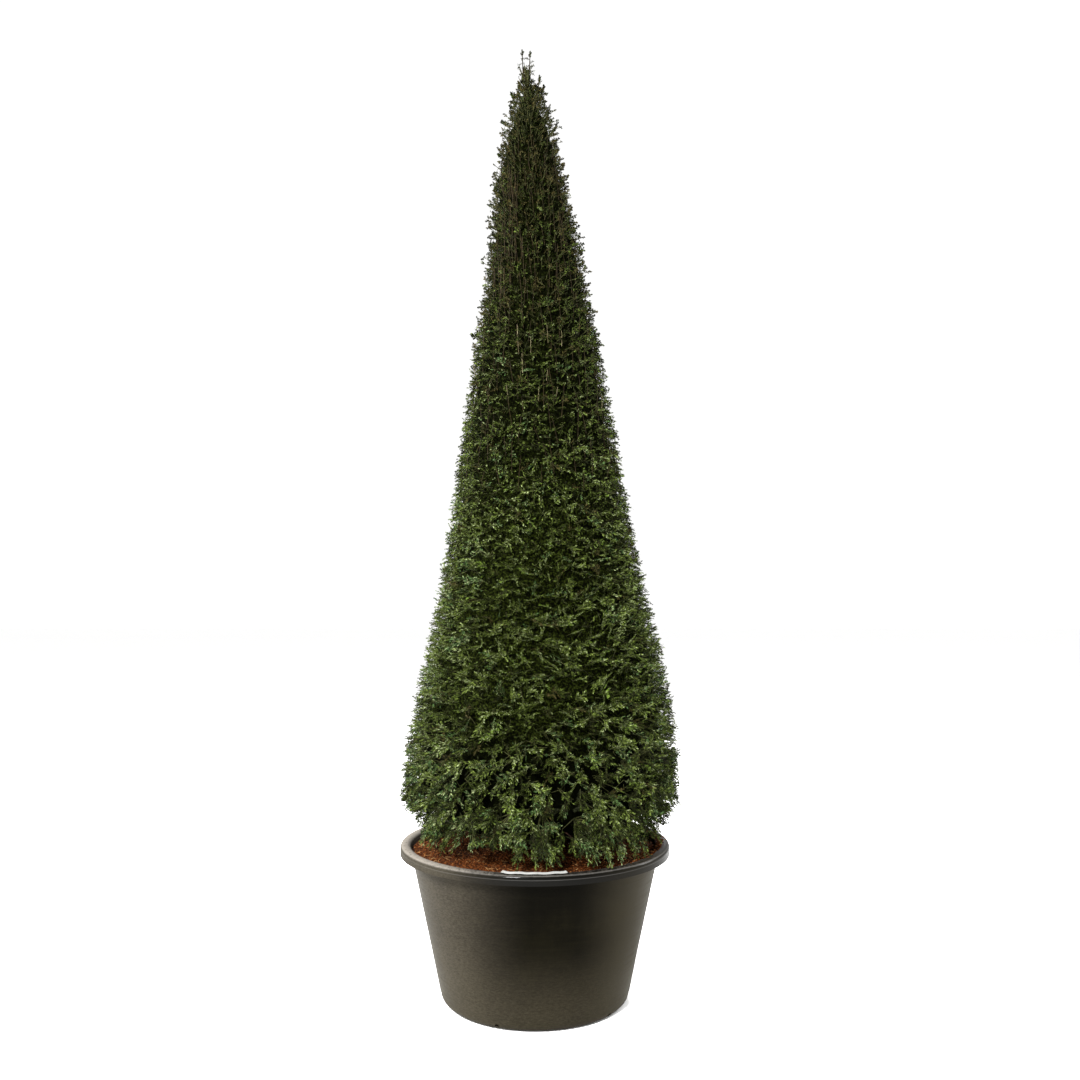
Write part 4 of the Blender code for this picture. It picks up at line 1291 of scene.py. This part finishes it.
# %% Spire
SPIRE_FORK = 3.44
LEADER_TIPS = (
    (-0.053, 0.000, 3.780), (-0.021, 0.004, 3.776), (0.018, -0.012, 3.668), (-0.072, 0.016, 3.610),
    (0.034, 0.010, 3.640),
)
SPIRE_SEED, SPIRE_SHOOTS, SPIRE_FOOT, SPIRE_HEAD = 90, 920, 3.20, 3.72
SPIRE_DEPTHS = (-0.04, 0.0, 0.06, 0.14, 0.30, 0.50)  # shares of the radius where shoots may end
SPIRE_TONES = (5.0, 0.5, 0.0, 0.0, 0.0, 0.04, 8.0)
WAIST = ((3.54, 0.0), (3.62, 0.016), (3.70, 0.010), (3.75, 0.0))  # how much slimmer it is there
SWAY = ((3.45, 0.0), (3.55, 0.010), (3.62, 0.014), (3.68, -0.004), (3.75, -0.012))  # its lean
BUD_SIZE = 1.15  # scale of the buds on a leader's tip
LEADER_FOOT, LEADER_BARE = 3.50, 0.034  # its side shoots start there and end so far below its tip
LEADER_GAPS = (0.007, 0.018)  # from one side shoot to the next
LEADER_SCALES = (0.30, 0.55)
UPRIGHT_SHARE, UPRIGHT_DEG, LEVEL_DEG = 0.45, (30, 84), (-25, 30)
KNOBS, KNOB_FOOT, KNOB_HEAD = 1350, 2.50, 3.64
KNOB_DEPTH = 0.030  # how far behind the face its twig starts
KNOB_PROUD = ((-0.012, 0.006), (0.006, 0.018))  # how far out it ends: most of them, and the longest
LONG_KNOBS = 0.3  # the share of those
FINGERS, FINGER_FOOT, FINGER_HEAD = 2300, 0.90, 2.62
FINGER_PROUD = (-0.006, 0.018)
FINGER_TONES = {"deep": 2.6, "shade": 4.0, "leaf": 1.6, "cool": 0.4}
TUFT_SHEAR = 0.06


def sway_at(height):
    return Vector((at(SWAY, height), 0, 0))


def grow_leader(tip, dice):
    fork = axis_point(SPIRE_FORK)
    fork += Vector((dice.uniform(-0.015, 0.015), dice.uniform(-0.015, 0.015), 0))
    bend = fork.lerp(tip, 0.6)
    bend.x = tip.x + (fork.x - tip.x) * 0.15
    brown_shoots.append((fork, bend, tip, 0.0040, 0.0020))
    for turn in range(4):
        direction = (outward(turn * math.tau / 4) * 0.35 + SKYWARD).normalized()
        root = tip - Vector((0, 0, 0.016 + 0.004 * turn))
        matrix = spray_matrix(direction, dice.uniform(0, math.tau), BUD_SIZE)
        lay_spray(dice.choice(KINDS["bud"]), matrix, root, "deep", TUFT_SHEAR)
    height = tip.z - LEADER_BARE
    while height > LEADER_FOOT:
        level = bend.lerp(tip, max(0.0, (height - bend.z) / (tip.z - bend.z)))
        direction = outward(dice.uniform(0, math.tau)) + Vector((0, 0, dice.uniform(-0.1, 0.7)))
        spray = dice.choice(KINDS["candle"])
        scale = dice.uniform(*LEADER_SCALES)
        matrix = spray_matrix(direction.normalized(), dice.uniform(0, 6), scale)
        lay_spray(spray, matrix, level, dice.choice(("bronze", "deep", "deep")), 0.05)
        height -= dice.uniform(*LEADER_GAPS)


def grow_spire(seed):
    fork, foot = axis_point(SPIRE_FORK), axis_point(TRUNK_TIP)
    limbs.append(bowed(foot, fork, 0.0, TRUNK_TIP_RADIUS, 0.006))
    for number, tip in enumerate(LEADER_TIPS):
        grow_leader(Vector(tip), random.Random(seed + number))
    for index in range(SPIRE_SHOOTS):
        dice = random.Random(seed * 1000 + index)
        round_share, up_share = site(index)
        azimuth = round_share * math.tau
        height = SPIRE_FOOT + (SPIRE_HEAD - SPIRE_FOOT) * up_share ** 1.5
        slim = ragged(azimuth, height) + at(WAIST, height)
        inset = slim + (at(CLIPPED_RADIUS, height) - slim) * dice.choice(SPIRE_DEPTHS)
        face = crown_point(azimuth, height, inset) + sway_at(height)
        spray = dice.choice(KINDS["candle"])
        scale = dice.uniform(0.55, 0.95) * (1.0 - 0.40 * up_share)
        upright = dice.random() < UPRIGHT_SHARE
        pitch = math.radians(dice.uniform(*(UPRIGHT_DEG if upright else LEVEL_DEG)))
        direction = slanted(azimuth + dice.gauss(0, 0.5), pitch)
        tone = dice.choices(TONES, SPIRE_TONES)[0]
        roll = dice.uniform(0, math.tau)
        root = lay_to_tip(spray, face, direction, roll, scale, tone, dice.uniform(*SHEAR_LINE))
        anchor = axis_point(min(max(TRUNK_TIP, root.z - 0.06), 3.60))
        twigs.append(bowed(anchor, root, 0.004, 0.0020, 0.0013))


def grow_knob(index):
    """A short level twig that stands out of the face and ends in a small dense tuft."""
    dice = random.Random(9500 + index)
    round_share, up_share = site(index)
    azimuth, height = round_share * math.tau, KNOB_FOOT + (KNOB_HEAD - KNOB_FOOT) * up_share
    inset = ragged(azimuth, height) + at(WAIST, height)
    root = crown_point(azimuth, height, KNOB_DEPTH + inset) + sway_at(height)
    proud = dice.uniform(*KNOB_PROUD[dice.random() < LONG_KNOBS])
    tip_azimuth = azimuth + dice.uniform(-0.08, 0.08)
    tip = crown_point(tip_azimuth, height + dice.uniform(-0.012, 0.014), inset - proud)
    tip += sway_at(height)
    knob_stems.append(bowed(root, tip, 0.003, 0.0015, 0.0012))
    way = (tip - root).normalized() + Vector([dice.uniform(-0.7, 0.7) for _ in range(3)])
    way.normalize()
    tone = dice.choice(("deep", "deep", "bronze", "bronze" if height > 3.0 else "shade"))
    matrix = spray_matrix(way, dice.uniform(0, math.tau), dice.uniform(0.8, 1.9))
    lay_spray(dice.choice(KINDS["bud"]), matrix, tip - way * 0.010, tone, TUFT_SHEAR)


def grow_finger(index):
    """A single short shoot that has grown a little past the shears since the last cut."""
    dice = random.Random(12000 + index)
    round_share, up_share = site(index)
    azimuth, height = round_share * math.tau, FINGER_FOOT + (FINGER_HEAD - FINGER_FOOT) * up_share
    if in_hollow(azimuth, height):
        return
    spray = dice.choice(KINDS["finger"])
    scale = dice.uniform(0.75, 1.35)
    direction = direction_at(dice, azimuth, height + 0.15, 26, 20)
    tip = crown_point(azimuth, height, -dice.uniform(*FINGER_PROUD))
    tone = dice.choices(tuple(FINGER_TONES), tuple(FINGER_TONES.values()))[0]
    lay_to_tip(spray, tip, direction, dice.uniform(0, math.tau), scale, tone, TUFT_SHEAR)


grow_spire(SPIRE_SEED)
for index in range(KNOBS):
    grow_knob(index)
for index in range(FINGERS):
    grow_finger(index)
print("needles in all", needle_count())

# %% [markdown]
# ## Bare shoots
#
# Shears leave cut stems that have lost their needles. They stand upright at the face of the upper
# half, a few millimetres proud of it: pale where the bark has weathered, brown elsewhere. The pale
# ones at the front have named places, and the rest are spread by the same seeded rule.

# %% Bare shoots
PALE_SHOOTS = (  # azimuth in degrees, foot, tip
    (-17, 2.480, 2.585), (-6, 2.480, 2.535), (7, 2.370, 2.405), (23, 2.510, 2.562),
    (14, 2.300, 2.338), (0, 2.290, 2.338), (-13, 2.400, 2.470), (10, 2.520, 2.580),
    (-24, 2.300, 2.350), (148, 2.440, 2.540), (-130, 2.360, 2.470), (95, 2.520, 2.600),
    (60, 2.260, 2.330), (-165, 2.500, 2.570), (-75, 2.420, 2.480), (120, 2.300, 2.360),
    (-100, 2.560, 2.630),
)
BROWN_SHOOTS, BROWN_FOOT, BROWN_RANGE = 420, 1.95, 1.40
OLD_STEMS, OLD_FOOT = 70, (2.66, 3.16)  # thicker ones, two in three in a worn streak at the left
STREAK_DEG = (-32, 12)  # its azimuth and spread


def upright_shoot(azimuth, foot, tip, proud, lean, radius):
    start = crown_point(azimuth, foot, 0.012)
    end = crown_point(azimuth + lean, tip, -proud)
    return start, start.lerp(end, 0.5) + outward(azimuth) * 0.006, end, radius, radius * 0.6


for number, (degrees, foot, tip) in enumerate(PALE_SHOOTS):
    lean = random.Random(700 + number).uniform(-0.02, 0.02)
    pale_shoots.append(upright_shoot(math.radians(degrees), foot, tip, 0.008, lean, 0.0008))
for index in range(BROWN_SHOOTS):
    dice = random.Random(800 + index)
    round_share, up_share = site(index)
    foot = BROWN_FOOT + BROWN_RANGE * up_share
    tip, proud = foot + dice.uniform(0.05, 0.16), dice.uniform(-0.010, 0.008)
    lean = dice.uniform(-0.08, 0.08)
    brown_shoots.append(upright_shoot(round_share * math.tau, foot, tip, proud, lean, 0.0012))
for index in range(OLD_STEMS):
    dice = random.Random(1300 + index)
    foot = dice.uniform(*OLD_FOOT)
    azimuth = math.radians(dice.gauss(*STREAK_DEG) if index % 3 else dice.uniform(0, 360))
    tip, proud = foot + dice.uniform(0.05, 0.14), dice.uniform(0.0, 0.008)
    brown_shoots.append(upright_shoot(azimuth, foot, tip, proud, dice.uniform(-0.06, 0.06), 0.0014))
print("bare shoots", len(pale_shoots), "pale and", len(brown_shoots), "brown")

# %% [markdown]
# ## Needles and wood as pieces
#
# A tone is a plain colour on its own piece, dealt out spray by spray, so nothing has to be
# painted on half a million tiny faces. Some tones hold painted light: deep and shade are painted
# shade on sprays behind the face, and pale needles are painted glints, partly the paler undersides
# of needles. The needles are waxy: a fairly low roughness gives them the pale glints that make a
# yew look alive, but their specular level is low, or the bright room would veil them.

# %% Needle pieces
NEEDLE_TONES = {  # colour and roughness
    # deep is near black: the painted shade of the crown's depths, and a darker tone dealt at random
    # elsewhere.
    "deep": ((0.0046, 0.0058, 0.0010), 0.60),
    "shade": ((0.021, 0.030, 0.0050), 0.55),
    "leaf": ((0.065, 0.088, 0.017), 0.50),
    "cool": ((0.035, 0.065, 0.020), 0.50),
    "fresh": ((0.066, 0.102, 0.015), 0.48),
    # pale: painted glints, partly the paler undersides of needles.
    "pale": ((0.150, 0.178, 0.080), 0.50),
    "bronze": ((0.035, 0.029, 0.009), 0.55),
}
MOST_NEEDLES = 95000  # in one piece, so that it stays under 200,000 triangles


def needle_finish(name, colour, roughness):
    """Waxy needles: a tone that varies from needle to needle and from shoot to shoot."""
    finish = Finish(name, colour, roughness, 0.05)
    by_shoot = finish.step(finish.noise(42.0, detail=2.0), 0.36, 0.64)
    by_needle = finish.step(finish.noise(150.0, detail=1.0), 0.38, 0.62)
    dark, light = ([c * share for c in colour] for share in (0.34, 1.70))
    finish.set("Base Color", finish.mix(by_shoot * 0.3 + by_needle * 0.7, dark, light))
    return finish


stands_for = MASSES
for tone in TONES:
    finish = needle_finish("yew_needles_" + tone, *NEEDLE_TONES[tone])
    needles = np.concatenate(needle_batches[tone])
    for part, start in enumerate(range(0, len(needles), MOST_NEEDLES)):
        name = f"needles_{tone}_{part + 1}"
        mesh = joined_mesh(name, [(needles[start:start + MOST_NEEDLES], NEEDLE_TRIANGLES)])
        piece_from(name, mesh, finish, "yew_needles", *stands_for)
        stands_for = ()

# %% Wood pieces
BOUGH_STEPS, SHOOT_STEPS, TWIG_STEPS = 3, 2, 1
WOODS = {  # dark, light and the scale of the streaks
    "green_twig": ((0.014, 0.016, 0.005), (0.046, 0.048, 0.015), 90.0),
    "brown_shoot": ((0.009, 0.006, 0.0025), (0.026, 0.018, 0.006), 70.0),
    "pale_shoot": ((0.11, 0.09, 0.045), (0.26, 0.23, 0.13), 70.0),
    "bough_bark": ((0.016, 0.009, 0.006), (0.050, 0.025, 0.015), 60.0),
}


def bent_limb(path, steps):
    """The lengths of one bent limb: two ends, the turn between them and the radius at each."""
    start, bend, end, first_radius, last_radius = path
    shares = [step / steps for step in range(steps + 1)]
    spots = [start.lerp(bend, share).lerp(bend.lerp(end, share), share) for share in shares]
    radii = [first_radius + (last_radius - first_radius) * share for share in shares]
    for low, high, near, far in zip(spots, spots[1:], radii, radii[1:]):
        yield low, high, np.array((high - low).to_track_quat("Z", "Y").to_matrix()), near, far


def limb_batch(paths, steps, shape):
    """Every length of every path, as copies of one tube."""
    points, triangles = shape
    made = []
    for path in paths:
        for low, high, turn, near, far in bent_limb(path, steps):
            width = np.where(points[:, 2:3] > 0.5, far, near)
            length = points[:, 2:3] * (high - low).length * 1.02
            made.append(np.hstack([points[:, :2] * width, length]) @ turn.T + np.array(low))
    return np.array(made), triangles


def wood_finish(name, dark, light, scale):
    finish = Finish(name, light, 0.75, 0.10)
    streak = finish.noise(scale, detail=4.0, rough=0.65)
    finish.set("Base Color", finish.mix(finish.step(streak, 0.38, 0.64), dark, light))
    finish.bump(streak, 0.0015, 0.6)
    return finish


woods = {name: wood_finish(name, *look) for name, look in WOODS.items()}
spray_limbs = [(np.concatenate(tube_batches), TUBE[1]), (np.concatenate(point_batches), POINT[1])]
for name, batches, wood in (
    ("boughs", [limb_batch(limbs, BOUGH_STEPS, LIMB)], "bough_bark"),
    ("green_shoots", spray_limbs, "green_twig"),
    ("twigs", [limb_batch(twigs + knob_stems, TWIG_STEPS, TUBE)], "green_twig"),
    ("brown_shoots", [limb_batch(brown_shoots, SHOOT_STEPS, TUBE)], "brown_shoot"),
    ("pale_shoots", [limb_batch(pale_shoots, SHOOT_STEPS, TUBE)], "pale_shoot"),
):
    piece_from(name, joined_mesh(name, batches), woods[wood], "yew_bark")

# %% [markdown]
# ## Inner growth
#
# A clipped yew is bare and dark inside, and so dense that no light comes through. A rough body
# well behind the fringe stands for the imported twigs that nobody sees one by one. Its colour is
# painted shade, near black, with a mottled band of painted light where the crown is brightest.

# %% Inner growth
CORE_INSET = (
    (0.66, 0.130), (0.90, 0.072), (1.30, 0.048), (1.60, 0.041), (2.20, 0.031), (2.60, 0.027),
    (3.10, 0.021), (3.30, 0.020), (3.42, 0.026), (3.50, 0.038), (3.58, 0.044),
)
CORE_SIDES, CORE_RINGS = 110, 190
CORE_FOOT, CORE_HEAD = 0.670, 3.560
CORE_TUCK = (0.74, 0.9)  # the height below which the core draws in, and how fast
CORE_ROUGHNESS = 0.34  # of its lumps, in insets
CORE_GRAIN = 22

core_shape = column_shape(CORE_SIDES, CORE_RINGS)
for vertex in core_shape.verts:
    height = CORE_FOOT + (CORE_HEAD - CORE_FOOT) * (vertex.co.z + 1.0) / 2.0
    azimuth = math.atan2(vertex.co.x, -vertex.co.y)
    inset = at(CORE_INSET, height)
    radius = at(CLIPPED_RADIUS, height) - inset - max(0.0, CORE_TUCK[0] - height) * CORE_TUCK[1]
    spot = (math.cos(azimuth) * radius, math.sin(azimuth) * radius, height)
    rough = field.fractal(Vector([part * CORE_GRAIN for part in spot]), 0.7, 2.1, 4)
    radius = max(0.006, radius + CORE_ROUGHNESS * inset * rough)
    vertex.co = axis_point(height) + outward(azimuth) * radius
inner = Finish("inner_growth_painted_shade", (0.006, 0.007, 0.003), 0.95, 0.01)
tangle = inner.noise(120.0, detail=5.0, rough=0.75)
high_up = inner.part("Z")
# Painted light on the near-black core: lighter and mottled from about 0.9 m to 1.7 m high, and
# weaker above 2.2 m; the rest is painted shade.
lit = inner.step(high_up, 0.92, 1.15) * (1 - inner.step(high_up, 1.7, 2.2) * 0.7)
lit = inner.step(tangle, 0.46, 0.64) * (0.05 + lit * 0.95)
inner.set("Base Color", inner.mix(lit, (0.0008, 0.0010, 0.0002), (0.019, 0.026, 0.004)))
inner.bump(tangle, 0.012, 1.0)
core_mesh = mesh_from("inner_growth_painted_shade", core_shape)
piece_from("inner_growth_painted_shade", core_mesh, inner, "yew_needles", smooth_deg=60)
